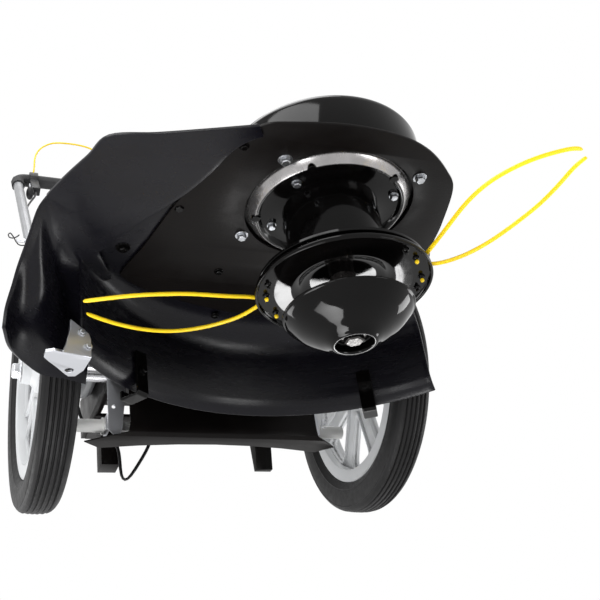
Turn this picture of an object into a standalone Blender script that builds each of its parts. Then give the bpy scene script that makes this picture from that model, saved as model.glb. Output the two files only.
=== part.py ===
"""Walk-behind petrol string mower, in metres.

+Z is up and +Y points back to the operator, whose right hand is at -X. While the pieces are made, the cutting head's
axis stands at X = Y = 0 and the ground is Z = 0. The finished machine is then moved to have its origin on the ground,
in the middle of its footprint.
"""

from math import acos, asin, atan2, cos, hypot, pi, radians, sin

import bmesh
import bpy
from mathutils import Euler, Matrix, Vector

# Clearances and fineness
FIT = 0.0003
SLIDING_FIT = 0.0006
MERGE = 0.0001
WHEEL_STEPS = 28
TURN_STEPS = 24
SMALL_STEPS = 16
TUBE_SIDES = 10

# Wheels and axle
TYRE_RADIUS = 0.1778
TYRE_WIDTH = 0.0455
BEAD_RADIUS = 0.1354
SEAT_RADIUS = 0.1300
RIM_INNER_RADIUS = 0.1180
RIM_WIDTH = 0.0310
SPOKES = 8
SPOKE_WIDTH = 0.0270
SPOKE_THICKNESS = 0.0120
FIRST_SPOKE = radians(-57.5)
HUB_RADIUS = 0.0220
HUB_LENGTH = 0.0520
WHEEL_TRACK = 0.4470
AXLE_Y = 0.4206
AXLE_RADIUS = 0.0095
NUT_LENGTH = 0.0120
NUT_FLANGE_RADIUS = 0.0140

# Deck
DECK_HEIGHT = 0.1600
DECK_PLATE = 0.0030
SHIELD_SKIN = 0.0030
PAN_SHEET = 0.0040
DECK_HOLE_RADIUS = 0.0868
SHIELD_WALL_RADIUS = 0.2620
SHIELD_LIP_RADIUS = 0.2720
SHIELD_LIP_HEIGHT = 0.0550
SHIELD_FLARE_HEIGHT = 0.0720
SHIELD_INNER_RADIUS = 0.1500
SHIELD_START = radians(43)
SHIELD_END = radians(151)
SHIELD_BEND = 0.0400
SHIELD_END_BEND = 0.0170
CLIP_ANGLES = {"right": radians(125.4), "left": radians(60.4)}
CLIP_WIDTH = 0.0170
CLIP_STRAP = 0.0030
CLIP_TOP = 0.0965
BRACKET_TURN = radians(43.7)
BRACKET_SHEET = 0.0030
BRACKET_STANDOFF = 0.0031
BRACKET_DROP = 0.0155

# Spindle and cutting head
SHAFT_RADIUS = 0.0127
SHAFT_BOTTOM = 0.0143
TUBE_RADIUS = 0.0484
TUBE_BOTTOM = 0.0840
BEARING_RADIUS = 0.0260
BEARING_HEIGHT = 0.0150
DISC_RADIUS = 0.0839
DISC_DEPTH = 0.0093
FLANGE_RADIUS = 0.0871
FLANGE_HEIGHT = 0.0650
FLANGE_SHEET = 0.0025
FLANGE_HUB_RADIUS = 0.0220
LINE_RADIUS = 0.0022
POST_RING_RADIUS = 0.0830
POST_RING_BORE = 0.0600
POST_RING_THICKNESS = 0.0030
POST_CIRCLE = 0.0760
POST_RADIUS = 0.0030
POST_ANGLES = [radians(angle) for angle in (116, 131, 158, 173)]
LINE_HEIGHT = FLANGE_HEIGHT + FLANGE_SHEET + FIT + LINE_RADIUS
BOWL_RADIUS = 0.0644
BOWL_RIM_HEIGHT = 0.0353
BOWL_HUB_RADIUS = 0.0200
BOWL_BOLT_RADIUS = 0.0050

# Belt drive
BELT_HEIGHT = 0.2000
BELT_WIDTH = 0.0130
BELT_THICKNESS = 0.0080
SPINDLE_BELT_RADIUS = 0.0580
CRANK_BELT_RADIUS = 0.0406
PULLEY_FLANGE = 0.0021
GROOVE_CLEARANCE = 0.0004
CRANK_Y = 0.3600
CRANK_RADIUS = 0.0125
CRANK_TAIL = 0.0140
FLYWHEEL_RADIUS = 0.0900
FLYWHEEL_THICKNESS = 0.0200
IDLER_RADIUS = 0.0200
IDLER_PLACE = (0.0870, 0.1650)
IDLER_PIVOT = (0.0970, 0.2250)
STUD_RADIUS = 0.0040
ARM_SHEET = 0.0030

# Belt cover and frame
COVER_NOSE = 0.1020
COVER_SIDE = 0.1250
COVER_END_Y = 0.2400
COVER_SHEET = 0.0025
COVER_RISE = 0.0240
COVER_ROUNDING = 0.0100
PAN_NOSE = 0.1040
PAN_END_Y = 0.4000
RAIL_INNER = 0.1301
RAIL_WALL = 0.0120
RAIL_START_Y = 0.2000
FRAME_END_Y = 0.6000
ENGINE_PLATE_RISE = 0.0220
ENGINE_PLATE = 0.0040
ENGINE_PLATE_START_Y = 0.2450
REAR_PLATE_START_Y = 0.5200
CRANK_HOLE_RADIUS = 0.0200
LUG_HALF = 0.0131
LUG_DROP = 0.0090
LUG_WALL = 0.0107
FOOT_X = 0.1145
FOOT_WIDTH = 0.0250
FOOT_Y = 0.5350
FOOT_LENGTH = 0.0300
FOOT_BOTTOM = 0.1010
AXLE_BRACKET_SHEET = 0.0020
AXLE_BRACKET_BOTTOM = 0.0872
GUARD_SHEET = 0.0020
GUARD_FACE_Y = 0.3990
GUARD_LIP_HEIGHT = 0.0850
GUARD_LIP_SWEEP = 0.0180
GUARD_ROD_RADIUS = 0.0060
GUARD_ROD_HEIGHT = 0.1050
GUARD_ROD_LENGTH = 0.3700
SLEEVE_RADIUS = 0.0085
SPRING_RADIUS = 0.0040
SPRING_WIRE = 0.0006
SPRING_CURLS = 8

# Engine
CRANKCASE_RADIUS = 0.0880
CRANKCASE_HEIGHT = 0.0887
CYLINDER_HALF = 0.0580
CYLINDER_FRONT_Y = 0.1900
CYLINDER_RISE = 0.0187
FINS = 6
FIN_DEPTH = 0.0120
BLOWER_RADIUS = 0.1180
BLOWER_GAP = 0.0030
BLOWER_DEPTH = 0.0770
RECOIL_DEPTH = 0.0300
BLOWER_WALL = 0.0030
RECOIL_RADIUS = 0.0750
TANK_HALF_WIDTH = 0.1100
TANK_START_Y = 0.4820
TANK_LENGTH = 0.0850
TANK_HEIGHT = 0.1440
CAP_PLACE = (0.0500, 0.5250)
CAP_RADIUS = 0.0240
CAP_HEIGHT = 0.0220
OIL_NECK_PLACE = (0.1250, 0.4200)
OIL_NECK_RADIUS = 0.0130
OIL_NECK_RISE = 0.0737
OIL_CAP_RADIUS = 0.0170
BULB_RADIUS = 0.0118
BULB_TRAVEL = 0.0060
BULB_Y = 0.2500
BULB_RISE = 0.0357
CLEANER_OUTER = 0.1500
CLEANER_INNER = 0.0853
CLEANER_RISE = 0.0087

# Handle
TUBE_HANDLE_RADIUS = 0.0111
LOWER_HANDLE_X = RAIL_INNER + RAIL_WALL + FIT + TUBE_HANDLE_RADIUS
UPPER_HANDLE_X = 0.1800
HANDLE_FOOT = (0.4450, 0.2000)
HANDLE_BEND = (0.5270, 0.2000)
HANDLE_TOP = (1.1000, 1.0320)
HANDLE_SLOPE = atan2(HANDLE_TOP[1] - HANDLE_BEND[1], HANDLE_TOP[0] - HANDLE_BEND[0])
FOLD_DISTANCE = 0.4030
TUBE_OVERLAP = 0.0300
LOWER_BEND_RADIUS = 0.0500
UPPER_BEND_RADIUS = 0.0240
BRACE_DISTANCE = 0.2450
BRACE_RADIUS = 0.0090
PIN_RADIUS = 0.0040
PIN_HEAD_RADIUS = 0.0080
PIN_HEAD = 0.0040
PIN_TAIL = 0.0140
GRIP_WALL = 0.0031
GRIP_LEG = 0.0500
CLAMP_WALL = 0.0057
CLAMP_WIDTH = 0.0180
THROTTLE_X = -0.1440
THROTTLE_LENGTH = 0.0780
THROTTLE_PIVOT = 0.0450
LEVER_SHEET = 0.0020
CLUTCH_X = 0.0300
CLUTCH_PIVOT = 0.0400
CLUTCH_REACH = 0.1050
CLUTCH_RADIUS = 0.0050
CABLE_RADIUS = 0.0025
CABLE_OFFSET = 0.0145

# Heights and places that follow from the sizes above
WHEEL_X = WHEEL_TRACK / 2
AXLE_HEIGHT = TYRE_RADIUS
SHIELD_HEIGHT = DECK_HEIGHT + DECK_PLATE + FIT
PAN_HEIGHT = SHIELD_HEIGHT + SHIELD_SKIN + FIT
COVER_HEIGHT = PAN_HEIGHT + PAN_SHEET + FIT
RAIL_OUTER = RAIL_INNER + RAIL_WALL
RAIL_MIDDLE = (RAIL_INNER + RAIL_OUTER) / 2
COVER_TOP = BELT_HEIGHT + COVER_RISE
ENGINE_PLATE_HEIGHT = BELT_HEIGHT + ENGINE_PLATE_RISE
ENGINE_HEIGHT = ENGINE_PLATE_HEIGHT + ENGINE_PLATE + FIT
CRANK_BOTTOM = BELT_HEIGHT - CRANK_TAIL
LUG_BOTTOM = min(PAN_HEIGHT - LUG_DROP, AXLE_HEIGHT - AXLE_RADIUS - LUG_WALL)
PULLEY_HALF = BELT_WIDTH / 2 + GROOVE_CLEARANCE + PULLEY_FLANGE
AXLE_BRACKET_Y = AXLE_Y - LUG_HALF - FIT - AXLE_BRACKET_SHEET
CRANKCASE_TOP = ENGINE_HEIGHT + CRANKCASE_HEIGHT
CYLINDER_LOW = ENGINE_HEIGHT + CYLINDER_RISE
BLOWER_BOTTOM = CRANKCASE_TOP + BLOWER_GAP
BLOWER_SHOULDER = BLOWER_BOTTOM + BLOWER_DEPTH
BLOWER_TOP = BLOWER_SHOULDER + RECOIL_DEPTH
OIL_NECK_TOP = ENGINE_HEIGHT + OIL_NECK_RISE
BULB_PLACE = (BULB_Y, ENGINE_HEIGHT + BULB_RISE)
TANK_TOP = ENGINE_HEIGHT + TANK_HEIGHT
GRIP_RADIUS = TUBE_HANDLE_RADIUS + FIT + GRIP_WALL
CLAMP_BORE = GRIP_RADIUS + FIT

FINISHES = {
    "polished_black": ((0.012, 0.010, 0.010), 0.12, 0.0),
    "satin_black_plate": ((0.018, 0.015, 0.014), 0.45, 0.0),
    "shield_plastic": ((0.020, 0.020, 0.027), 0.42, 0.0),
    "black_plastic": ((0.020, 0.020, 0.022), 0.50, 0.0),
    "yellow_nylon": ((1.0, 0.75, 0.02), 0.40, 0.0),
    "zinc": ((0.72, 0.73, 0.75), 0.28, 1.0),
    "machined_steel": ((0.55, 0.55, 0.57), 0.30, 1.0),
    "tyre_rubber": ((0.030, 0.030, 0.034), 0.75, 0.0),
    "rim_plastic": ((0.72, 0.73, 0.75), 0.45, 0.0),
    "belt_rubber": ((0.022, 0.022, 0.022), 0.80, 0.0),
    "engine_casting": ((0.45, 0.46, 0.47), 0.55, 0.9),
    "heat_black": ((0.030, 0.028, 0.027), 0.65, 0.3),
    "white_plastic": ((0.80, 0.80, 0.78), 0.45, 0.0),
    "red_rubber": ((0.45, 0.03, 0.02), 0.50, 0.0),
    "ceramic": ((0.82, 0.80, 0.76), 0.25, 0.0),
    "silver_tube": ((0.60, 0.61, 0.63), 0.38, 0.9),
    "foam_grip": ((0.060, 0.060, 0.064), 0.85, 0.0),
}


def clear_scene():
    for shape in list(bpy.data.objects):
        bpy.data.objects.remove(shape)
    for name in ("string_mower", "cutters"):
        bpy.context.scene.collection.children.link(bpy.data.collections.new(name))


def link(name, data):
    shape = bpy.data.objects.new(name, data)
    bpy.data.collections["string_mower"].objects.link(shape)
    return shape


def make_finish(name):
    """The material of this name, made on first use."""
    if name in bpy.data.materials:
        return bpy.data.materials[name]
    colour, roughness, metallic = FINISHES[name]
    finish = bpy.data.materials.new(name)
    finish.use_nodes = True
    surface = finish.node_tree.nodes["Principled BSDF"]
    surface.inputs["Base Color"].default_value = (*colour, 1)
    surface.inputs["Roughness"].default_value = roughness
    surface.inputs["Metallic"].default_value = metallic
    return finish


def axis_frame(name, place, parent=None, turn=(0, 0, 0)):
    """An empty on a joint's axis, which carries the pieces that turn or slide there."""
    frame = link(name, None)
    frame.location = place
    frame.rotation_euler = turn
    if parent:
        ride(parent, frame)
    bpy.context.view_layer.update()
    return frame


def ride(frame, shape):
    """Parents a shape to a frame and leaves it where it is."""
    shape.parent = frame
    shape.matrix_parent_inverse = frame.matrix_world.inverted()


def turned(name, profile, steps=TURN_STEPS, place=(0, 0, 0), turn=(0, 0, 0)):
    """Turns (radius, height) points about local Z. They run from the top down the outer side, and on round a bore."""
    mesh = bpy.data.meshes.new(name)
    edges = [(index, index + 1) for index in range(len(profile) - 1)]
    if min(radius for radius, _ in profile) > 0:
        edges.append((len(profile) - 1, 0))
    mesh.from_pydata([(radius, 0, height) for radius, height in profile], edges, [])
    shape = link(name, mesh)
    shape.location = place
    shape.rotation_euler = turn
    screw = shape.modifiers.new("turn", "SCREW")
    screw.steps = screw.render_steps = steps
    screw.use_merge_vertices = True
    screw.merge_threshold = MERGE
    return shape


def ring(name, outer, bore, low, high, steps=TURN_STEPS, place=(0, 0, 0), turn=(0, 0, 0)):
    profile = [(outer, high), (outer, low), (bore, low), (bore, high)]
    return turned(name, profile, steps, place, turn)


def drum(name, radius, low, high, steps=SMALL_STEPS, place=(0, 0, 0), turn=(0, 0, 0)):
    profile = [(0, high), (radius, high), (radius, low), (0, low)]
    return turned(name, profile, steps, place, turn)


def tube(name, points, radius, sides=TUBE_SIDES):
    """A round bar or cable along the points, with flat ends."""
    curve = bpy.data.curves.new(name, "CURVE")
    curve.dimensions = "3D"
    curve.bevel_depth = radius
    curve.bevel_resolution = sides // 2 - 2
    curve.use_fill_caps = True
    spline = curve.splines.new("POLY")
    spline.points.add(len(points) - 1)
    for point, place in zip(spline.points, points):
        point.co = (*place, 1)
    return link(name, curve)


def plate(name, outline, thickness, holes=(), place=(0, 0, 0), turn=(0, 0, 0)):
    """A flat outline in local XY with its holes. The place is the middle of its thickness."""
    curve = bpy.data.curves.new(name, "CURVE")
    curve.dimensions = "2D"
    curve.fill_mode = "BOTH"
    curve.extrude = thickness / 2
    for loop in (outline, *holes):
        spline = curve.splines.new("POLY")
        spline.points.add(len(loop) - 1)
        for point, (x, y) in zip(spline.points, loop):
            point.co = (x, y, 0, 1)
        spline.use_cyclic_u = True
    shape = link(name, curve)
    shape.location = place
    shape.rotation_euler = turn
    return shape


def block(name, low, high, rounding=0.0, segments=2):
    """A box between two corners, with its edges rounded."""
    work = bmesh.new()
    bmesh.ops.create_cube(work, size=1)
    size = Vector(high) - Vector(low)
    bmesh.ops.scale(work, vec=size, verts=work.verts)
    mesh = bpy.data.meshes.new(name)
    work.to_mesh(mesh)
    work.free()
    shape = link(name, mesh)
    shape.location = (Vector(low) + Vector(high)) / 2
    if rounding:
        bevel = shape.modifiers.new("rounding", "BEVEL")
        bevel.width = rounding
        bevel.segments = segments
    return shape


def cylinders(name, places, radius, low, high, sides=8):
    """Upright cylinders in one mesh, for a set of posts or holes."""
    work = bmesh.new()
    for x, y in places:
        middle = Matrix.Translation((x, y, (low + high) / 2))
        bmesh.ops.create_cone(
            work, cap_ends=True, segments=sides, radius1=radius, radius2=radius, depth=high - low, matrix=middle
        )
    mesh = bpy.data.meshes.new(name)
    work.to_mesh(mesh)
    work.free()
    return link(name, mesh)


def skin(name, grids, thickness):
    """A sheet through grids of points, which join where they share points."""
    work = bmesh.new()
    for grid in grids:
        rows = [[work.verts.new(point) for point in row] for row in grid]
        for near, far in zip(rows, rows[1:]):
            for index in range(len(near) - 1):
                work.faces.new((near[index], near[index + 1], far[index + 1], far[index]))
    bmesh.ops.remove_doubles(work, verts=work.verts, dist=MERGE)
    bmesh.ops.recalc_face_normals(work, faces=work.faces)
    mesh = bpy.data.meshes.new(name)
    work.to_mesh(mesh)
    work.free()
    shape = link(name, mesh)
    solid = shape.modifiers.new("sheet", "SOLIDIFY")
    solid.thickness = thickness
    solid.offset = 0
    return shape


def as_mesh(shape):
    """Puts the mesh that a curve or a shape's modifiers make in its place, with loose caps welded on."""
    graph = bpy.context.evaluated_depsgraph_get()
    mesh = bpy.data.meshes.new_from_object(shape.evaluated_get(graph))
    work = bmesh.new()
    work.from_mesh(mesh)
    bmesh.ops.remove_doubles(work, verts=work.verts, dist=MERGE / 10)
    work.to_mesh(mesh)
    work.free()
    name = shape.name
    place = shape.matrix_world.copy()
    bpy.data.objects.remove(shape)
    solid = link(name, mesh)
    solid.matrix_world = place
    return solid


def combine(shape, others, operation):
    """Joins or cuts a shape with others, which stay as hidden helpers under it."""
    solid = as_mesh(shape)
    for other in others:
        helper = as_mesh(other)
        bpy.data.collections["string_mower"].objects.unlink(helper)
        bpy.data.collections["cutters"].objects.link(helper)
        helper.hide_render = True
        helper.display_type = "WIRE"
        ride(solid, helper)
        boolean = solid.modifiers.new(helper.name, "BOOLEAN")
        boolean.operation = operation
        boolean.solver = "EXACT"
        boolean.object = helper
    bpy.context.view_layer.update()
    return solid


def join(shape, *others):
    return combine(shape, others, "UNION")


def cut(shape, *others):
    return combine(shape, others, "DIFFERENCE")


def circle(radius, centre=(0, 0), steps=TURN_STEPS):
    x, y = centre
    return [(x + radius * cos(2 * pi * i / steps), y + radius * sin(2 * pi * i / steps)) for i in range(steps)]


def polar(radius, angle, height):
    return (radius * cos(angle), radius * sin(angle), height)


def smooth_route(points, spacing):
    """Points on a smooth curve through the given ones, about evenly spaced."""
    places = [Vector(point) for point in points]
    first = 2 * places[0] - places[1]
    last = 2 * places[-1] - places[-2]
    places = [first, *places, last]
    route = []
    for before, start, end, after in zip(places, places[1:], places[2:], places[3:]):
        steps = max(1, round((end - start).length / spacing))
        for step in range(steps):
            t = step / steps
            bend = 2 * before - 5 * start + 4 * end - after
            twist = 3 * (start - end) + after - before
            route.append(start + ((end - before) * t + bend * t**2 + twist * t**3) / 2)
    route.append(places[-2])
    return route


def rounded_route(corners, radius, steps=5):
    """Straight runs between corners, each corner rounded to the radius."""
    places = [Vector(corner) for corner in corners]
    route = [places[0]]
    for before, corner, after in zip(places, places[1:], places[2:]):
        inward = (before - corner).normalized()
        outward = (after - corner).normalized()
        half = inward.angle(outward) / 2
        centre = corner + (inward + outward).normalized() * radius / sin(half)
        start = corner + inward * radius * cos(half) / sin(half) - centre
        end = corner + outward * radius * cos(half) / sin(half) - centre
        sweep = start.angle(end)
        for step in range(steps + 1):
            t = step / steps
            route.append(centre + (start * sin(sweep * (1 - t)) + end * sin(sweep * t)) / sin(sweep))
    route.append(places[-1])
    return route


def nose_outline(nose, side_x, side_y, steps=18):
    """The half circle round the spindle and the sides that leave it at a tangent, from the left side to the right."""
    reach = hypot(side_x, side_y)
    start = atan2(side_y, side_x) - acos(nose / reach)
    arc = [start - (pi + 2 * start) * step / steps for step in range(steps + 1)]
    return [(side_x, side_y)] + [(nose * cos(a), nose * sin(a)) for a in arc] + [(-side_x, side_y)]


# Wheels, in local XY with their axle along local Z

ACROSS = (0, pi / 2, 0)


def wheel_window(angle):
    """The opening between two spokes."""
    pitch = 2 * pi / SPOKES
    half = SPOKE_WIDTH / 2
    outer = RIM_INNER_RADIUS - 0.002
    flare = radians(3)
    corner = asin(half / outer) + flare

    def beside(spoke, reach, side):
        across = Vector((-sin(spoke), cos(spoke))) * side * half
        return tuple(Vector((cos(spoke), sin(spoke))) * reach + across)

    near = [beside(angle, reach, 1) for reach in (0.044, outer * 0.88)]
    arc_start = angle + corner
    arc_length = pitch - 2 * corner
    arc = [arc_start + arc_length * step / 2 for step in range(3)]
    far = [beside(angle + pitch, reach, -1) for reach in (outer * 0.88, 0.044)]
    return near + [(outer * cos(a), outer * sin(a)) for a in arc] + far


def make_wheel_rim(side, sign):
    name = f"wheel_rim_{side}"
    place = (sign * WHEEL_X, AXLE_Y, AXLE_HEIGHT)
    windows = [wheel_window(FIRST_SPOKE + pi / 2 + 2 * pi * spoke / SPOKES) for spoke in range(SPOKES)]
    hub_bore = AXLE_RADIUS + FIT
    web_outline = circle(RIM_INNER_RADIUS + 0.003, steps=WHEEL_STEPS)
    openings = (*windows, circle(HUB_RADIUS - 0.004, steps=SMALL_STEPS))
    web = plate(name, web_outline, SPOKE_THICKNESS, openings, place, ACROSS)
    half = RIM_WIDTH / 2
    band_profile = [
        (RIM_INNER_RADIUS, half),
        (BEAD_RADIUS, half),
        (BEAD_RADIUS, half - 0.0020),
        (SEAT_RADIUS, half - 0.0045),
        (SEAT_RADIUS, 0.0045 - half),
        (BEAD_RADIUS, 0.0020 - half),
        (BEAD_RADIUS, -half),
        (RIM_INNER_RADIUS, -half),
    ]
    band = turned(f"{name}_band", band_profile, WHEEL_STEPS, place, ACROSS)
    hub = ring(f"{name}_hub", HUB_RADIUS, hub_bore, -HUB_LENGTH / 2, HUB_LENGTH / 2, SMALL_STEPS, place, ACROSS)
    return join(web, band, hub)


def make_tyre(side, sign):
    """A solid tyre with its foot between the rim's beads."""
    half = TYRE_WIDTH / 2
    foot = RIM_WIDTH / 2 - 0.0045 - SLIDING_FIT
    top = [(SEAT_RADIUS + FIT, foot), (BEAD_RADIUS + FIT, foot + 0.0026), (BEAD_RADIUS + 0.0015, half - 0.0060)]
    top += [(TYRE_RADIUS - 0.0200, half), (TYRE_RADIUS - 0.0070, half - 0.0016), (TYRE_RADIUS - 0.0020, half * 0.7)]
    top += [(TYRE_RADIUS, half * 0.25)]
    bottom = [(radius, -height) for radius, height in reversed(top)]
    place = (sign * WHEEL_X, AXLE_Y, AXLE_HEIGHT)
    return turned(f"tyre_{side}", top + bottom, WHEEL_STEPS, place, ACROSS)


def make_axle_nut(side, sign):
    start = HUB_LENGTH / 2 + WHEEL_X + SLIDING_FIT
    hexagon = NUT_FLANGE_RADIUS * 0.78
    profile = [(0, NUT_LENGTH), (hexagon * 0.6, NUT_LENGTH), (hexagon, NUT_LENGTH * 0.7), (hexagon, 0.0025)]
    profile += [(NUT_FLANGE_RADIUS, 0.0020), (NUT_FLANGE_RADIUS, 0), (0, 0)]
    return turned(f"axle_nut_{side}", profile, SMALL_STEPS, (sign * start, AXLE_Y, AXLE_HEIGHT), (0, sign * pi / 2, 0))


def make_axle():
    reach = WHEEL_X + HUB_LENGTH / 2 + FIT
    return drum("axle", AXLE_RADIUS, -reach, reach, SMALL_STEPS, (0, AXLE_Y, AXLE_HEIGHT), ACROSS)


# Spindle and cutting head, which turn about Z


def make_spindle_shaft():
    return drum("spindle_shaft", SHAFT_RADIUS, SHAFT_BOTTOM, BELT_HEIGHT + PULLEY_HALF + 0.005)


def grooved_pulley(name, belt_radius, bore, place, low=-PULLEY_HALF, high=PULLEY_HALF):
    """A pulley whose groove takes the belt."""
    rim = belt_radius + BELT_THICKNESS / 2 + 0.0005
    root = belt_radius - BELT_THICKNESS / 2 - 0.0005
    groove = BELT_WIDTH / 2 + GROOVE_CLEARANCE
    profile = [(rim, high), (rim, groove), (root, groove), (root, -groove), (rim, -groove), (rim, low)]
    profile += [(bore, low), (bore, high)]
    return turned(name, profile, TURN_STEPS, (*place, BELT_HEIGHT))


def make_spindle_pulley():
    return grooved_pulley("spindle_pulley", SPINDLE_BELT_RADIUS, SHAFT_RADIUS + FIT, (0, 0))


def post_places():
    return [polar(POST_CIRCLE, angle + turn, 0)[:2] for turn in (0, pi) for angle in POST_ANGLES]


def make_head_flange():
    """A pressed pan: a hub, a raised middle, a flat band that the line lies on and a rim turned down."""
    top = FLANGE_HEIGHT + FLANGE_SHEET
    bore = SHAFT_RADIUS + FIT
    hub_top = FLANGE_HEIGHT + 0.0100
    profile = [(bore, hub_top), (FLANGE_HUB_RADIUS, hub_top), (FLANGE_HUB_RADIUS, top + 0.003), (0.0440, top + 0.003)]
    profile += [(0.0500, top), (FLANGE_RADIUS - 0.002, top), (FLANGE_RADIUS, top - 0.0015)]
    profile += [(FLANGE_RADIUS, FLANGE_HEIGHT - 0.0034), (FLANGE_RADIUS - 0.0025, FLANGE_HEIGHT - 0.0034)]
    profile += [(FLANGE_RADIUS - 0.0030, FLANGE_HEIGHT), (0.0510, FLANGE_HEIGHT), (0.0440, FLANGE_HEIGHT + 0.003)]
    profile += [(bore, FLANGE_HEIGHT + 0.003)]
    flange = turned("head_flange", profile)
    holes = cylinders("head_flange_holes", post_places(), POST_RADIUS + FIT * 2, FLANGE_HEIGHT - 0.01, top + 0.01)
    return cut(flange, holes)


def make_line_post_plate():
    low = LINE_HEIGHT + LINE_RADIUS + FIT
    plate_ring = ring("line_post_plate", POST_RING_RADIUS, POST_RING_BORE, low, low + POST_RING_THICKNESS)
    posts = cylinders("line_posts", post_places(), POST_RADIUS, FLANGE_HEIGHT - 0.005, low + POST_RING_THICKNESS / 2)
    return join(plate_ring, posts)


def line_fold(centre):
    """The fold of a line between its two middle posts, ending in a bulb that can't pull out."""
    bulb = [(0.0660, 7.5), (0.0560, 4.5), (0.0525, 0), (0.0560, -4.5), (0.0660, -7.5)]
    return [polar(radius, centre + radians(swing), LINE_HEIGHT) for radius, swing in bulb]


def make_cutting_line(side, incoming, outgoing, centre):
    """One nylon line, folded in two and hooked in the head, so that two ends fly. Its points are (x, y, rise) in mm."""
    first = [(x / 1000, y / 1000, LINE_HEIGHT + rise / 1000) for x, y, rise in incoming]
    second = [(x / 1000, y / 1000, LINE_HEIGHT + rise / 1000) for x, y, rise in reversed(outgoing)]
    route = smooth_route(first + line_fold(centre) + second, 0.0125)
    return tube(f"cutting_line_{side}", route, LINE_RADIUS, 8)


def make_cutting_line_right():
    """Both strands lie flat. They run from their tips in to the fold."""
    lower = [(-231, 93, 0), (-216, 101, 0), (-200, 108, 0), (-168, 116, 0), (-138, 115, 0), (-110, 103, 0)]
    lower += [(-84, 82, 0), (-72, 62, 0)]
    upper = [(-238, 72, 0), (-197, 56, 0), (-170, 49, 0), (-142, 44, 0), (-112, 43, 0), (-97, 42, 0), (-80, 40, 0)]
    return make_cutting_line("right", lower, upper, radians(144))


def make_cutting_line_left():
    """The line's own curl lifts its tips."""
    near = [(150, -201, 26), (141, -202, 25), (118, -194, 21), (94, -182, 15), (73, -161, 9), (62, -136, 3)]
    near += [(60, -109, 0), (61, -80, 0), (61, -56, 0)]
    far = [(161, -193, 26), (153, -183, 22), (151, -169, 19), (144, -141, 13), (133, -116, 8), (116, -86, 2)]
    far += [(98, -60, 0), (76, -43, 0)]
    return make_cutting_line("left", near, far, radians(-36))


def make_ground_bowl():
    """The polished bowl that the head glides on, with a hub for the shaft's end and a pocket for its bolt."""
    outside = [(BOWL_RADIUS, BOWL_RIM_HEIGHT), (BOWL_RADIUS, BOWL_RIM_HEIGHT - 0.0020), (0.0626, 0.0325)]
    outside += [(0.0590, 0.0278), (0.0500, 0.0188), (0.0380, 0.0108), (0.0290, 0.0058), (0.0235, 0.0022)]
    outside += [(0.0212, 0), (0.0185, 0), (0.0178, 0.0100), (BOWL_BOLT_RADIUS + FIT * 2, 0.0100)]
    floor = SHAFT_BOTTOM - FIT
    hub_bore = SHAFT_RADIUS + SLIDING_FIT
    inside = [(BOWL_BOLT_RADIUS + FIT * 2, floor), (hub_bore, floor), (hub_bore, 0.0300), (BOWL_HUB_RADIUS, 0.0300)]
    inside += [(BOWL_HUB_RADIUS + 0.0020, 0.0120), (0.0275, 0.0084), (0.0365, 0.0134), (0.0481, 0.0212)]
    inside += [(0.0567, 0.0298), (BOWL_RADIUS - 0.0044, BOWL_RIM_HEIGHT)]
    return turned("ground_bowl", outside + inside)


def make_bowl_bolt():
    head = 0.0090
    seat = 0.0100 - FIT
    profile = [(0, SHAFT_BOTTOM - FIT), (BOWL_BOLT_RADIUS, SHAFT_BOTTOM - FIT), (BOWL_BOLT_RADIUS, seat)]
    profile += [(head + 0.004, seat), (head + 0.004, seat - 0.0015), (head, seat - 0.0015), (head, seat - 0.0065)]
    profile += [(0, seat - 0.0065)]
    return turned("bowl_bolt", profile, SMALL_STEPS)


def make_spindle_disc():
    """The turned disc under the pan, whose outer cone drops through the hole in the deck plate."""
    top = PAN_HEIGHT - FIT
    bottom = PAN_HEIGHT - FIT - DISC_DEPTH - 0.0030
    bore = TUBE_RADIUS + FIT
    profile = [(bore, top), (DISC_RADIUS, top), (DISC_RADIUS, top - 0.0033), (DISC_RADIUS - 0.0077, bottom)]
    profile += [(DISC_RADIUS - 0.0109, bottom), (DISC_RADIUS - 0.0129, bottom + 0.0040), (bore, bottom + 0.0040)]
    return turned("spindle_disc", profile)


def make_spindle_tube():
    return ring("spindle_tube", TUBE_RADIUS, BEARING_RADIUS + FIT, TUBE_BOTTOM, PAN_HEIGHT + PAN_SHEET - 0.0006)


def make_bearing(name, low):
    return ring(name, BEARING_RADIUS, SHAFT_RADIUS + FIT, low, low + BEARING_HEIGHT, TURN_STEPS)


def make_lower_bearing():
    return make_bearing("lower_bearing", TUBE_BOTTOM + 0.001)


def make_upper_bearing():
    return make_bearing("upper_bearing", PAN_HEIGHT + PAN_SHEET - 0.0016 - BEARING_HEIGHT)


# Deck


def make_deck_plate():
    """The steel plate over the cutting head. Its back edge follows the bend of the debris shield."""
    back = [(-0.177, 0.161), (-0.150, 0.180), (-0.110, 0.196), (-0.050, 0.212), (0.000, 0.2160), (0.060, 0.207)]
    back += [(0.120, 0.180), (0.165, 0.140), (0.180, 0.120)]
    left = [(0.170, 0.100), (0.146, 0.052), (0.135, 0.006), (0.117, -0.052), (0.098, -0.076)]
    front = [(0.064, -0.102), (0.024, -0.116), (-0.029, -0.119), (-0.085, -0.110), (-0.107, -0.102)]
    right = [(-0.123, -0.082), (-0.135, -0.060), (-0.141, -0.032), (-0.155, 0.026), (-0.168, 0.097), (-0.180, 0.147)]
    route = smooth_route([(x, y, 0) for x, y in back + left + front + right], 0.02)
    outline = [(point.x, point.y) for point in route]
    height = DECK_HEIGHT + DECK_PLATE / 2
    return plate("deck_plate", outline, DECK_PLATE, (circle(DECK_HOLE_RADIUS),), (0, 0, height))


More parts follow.
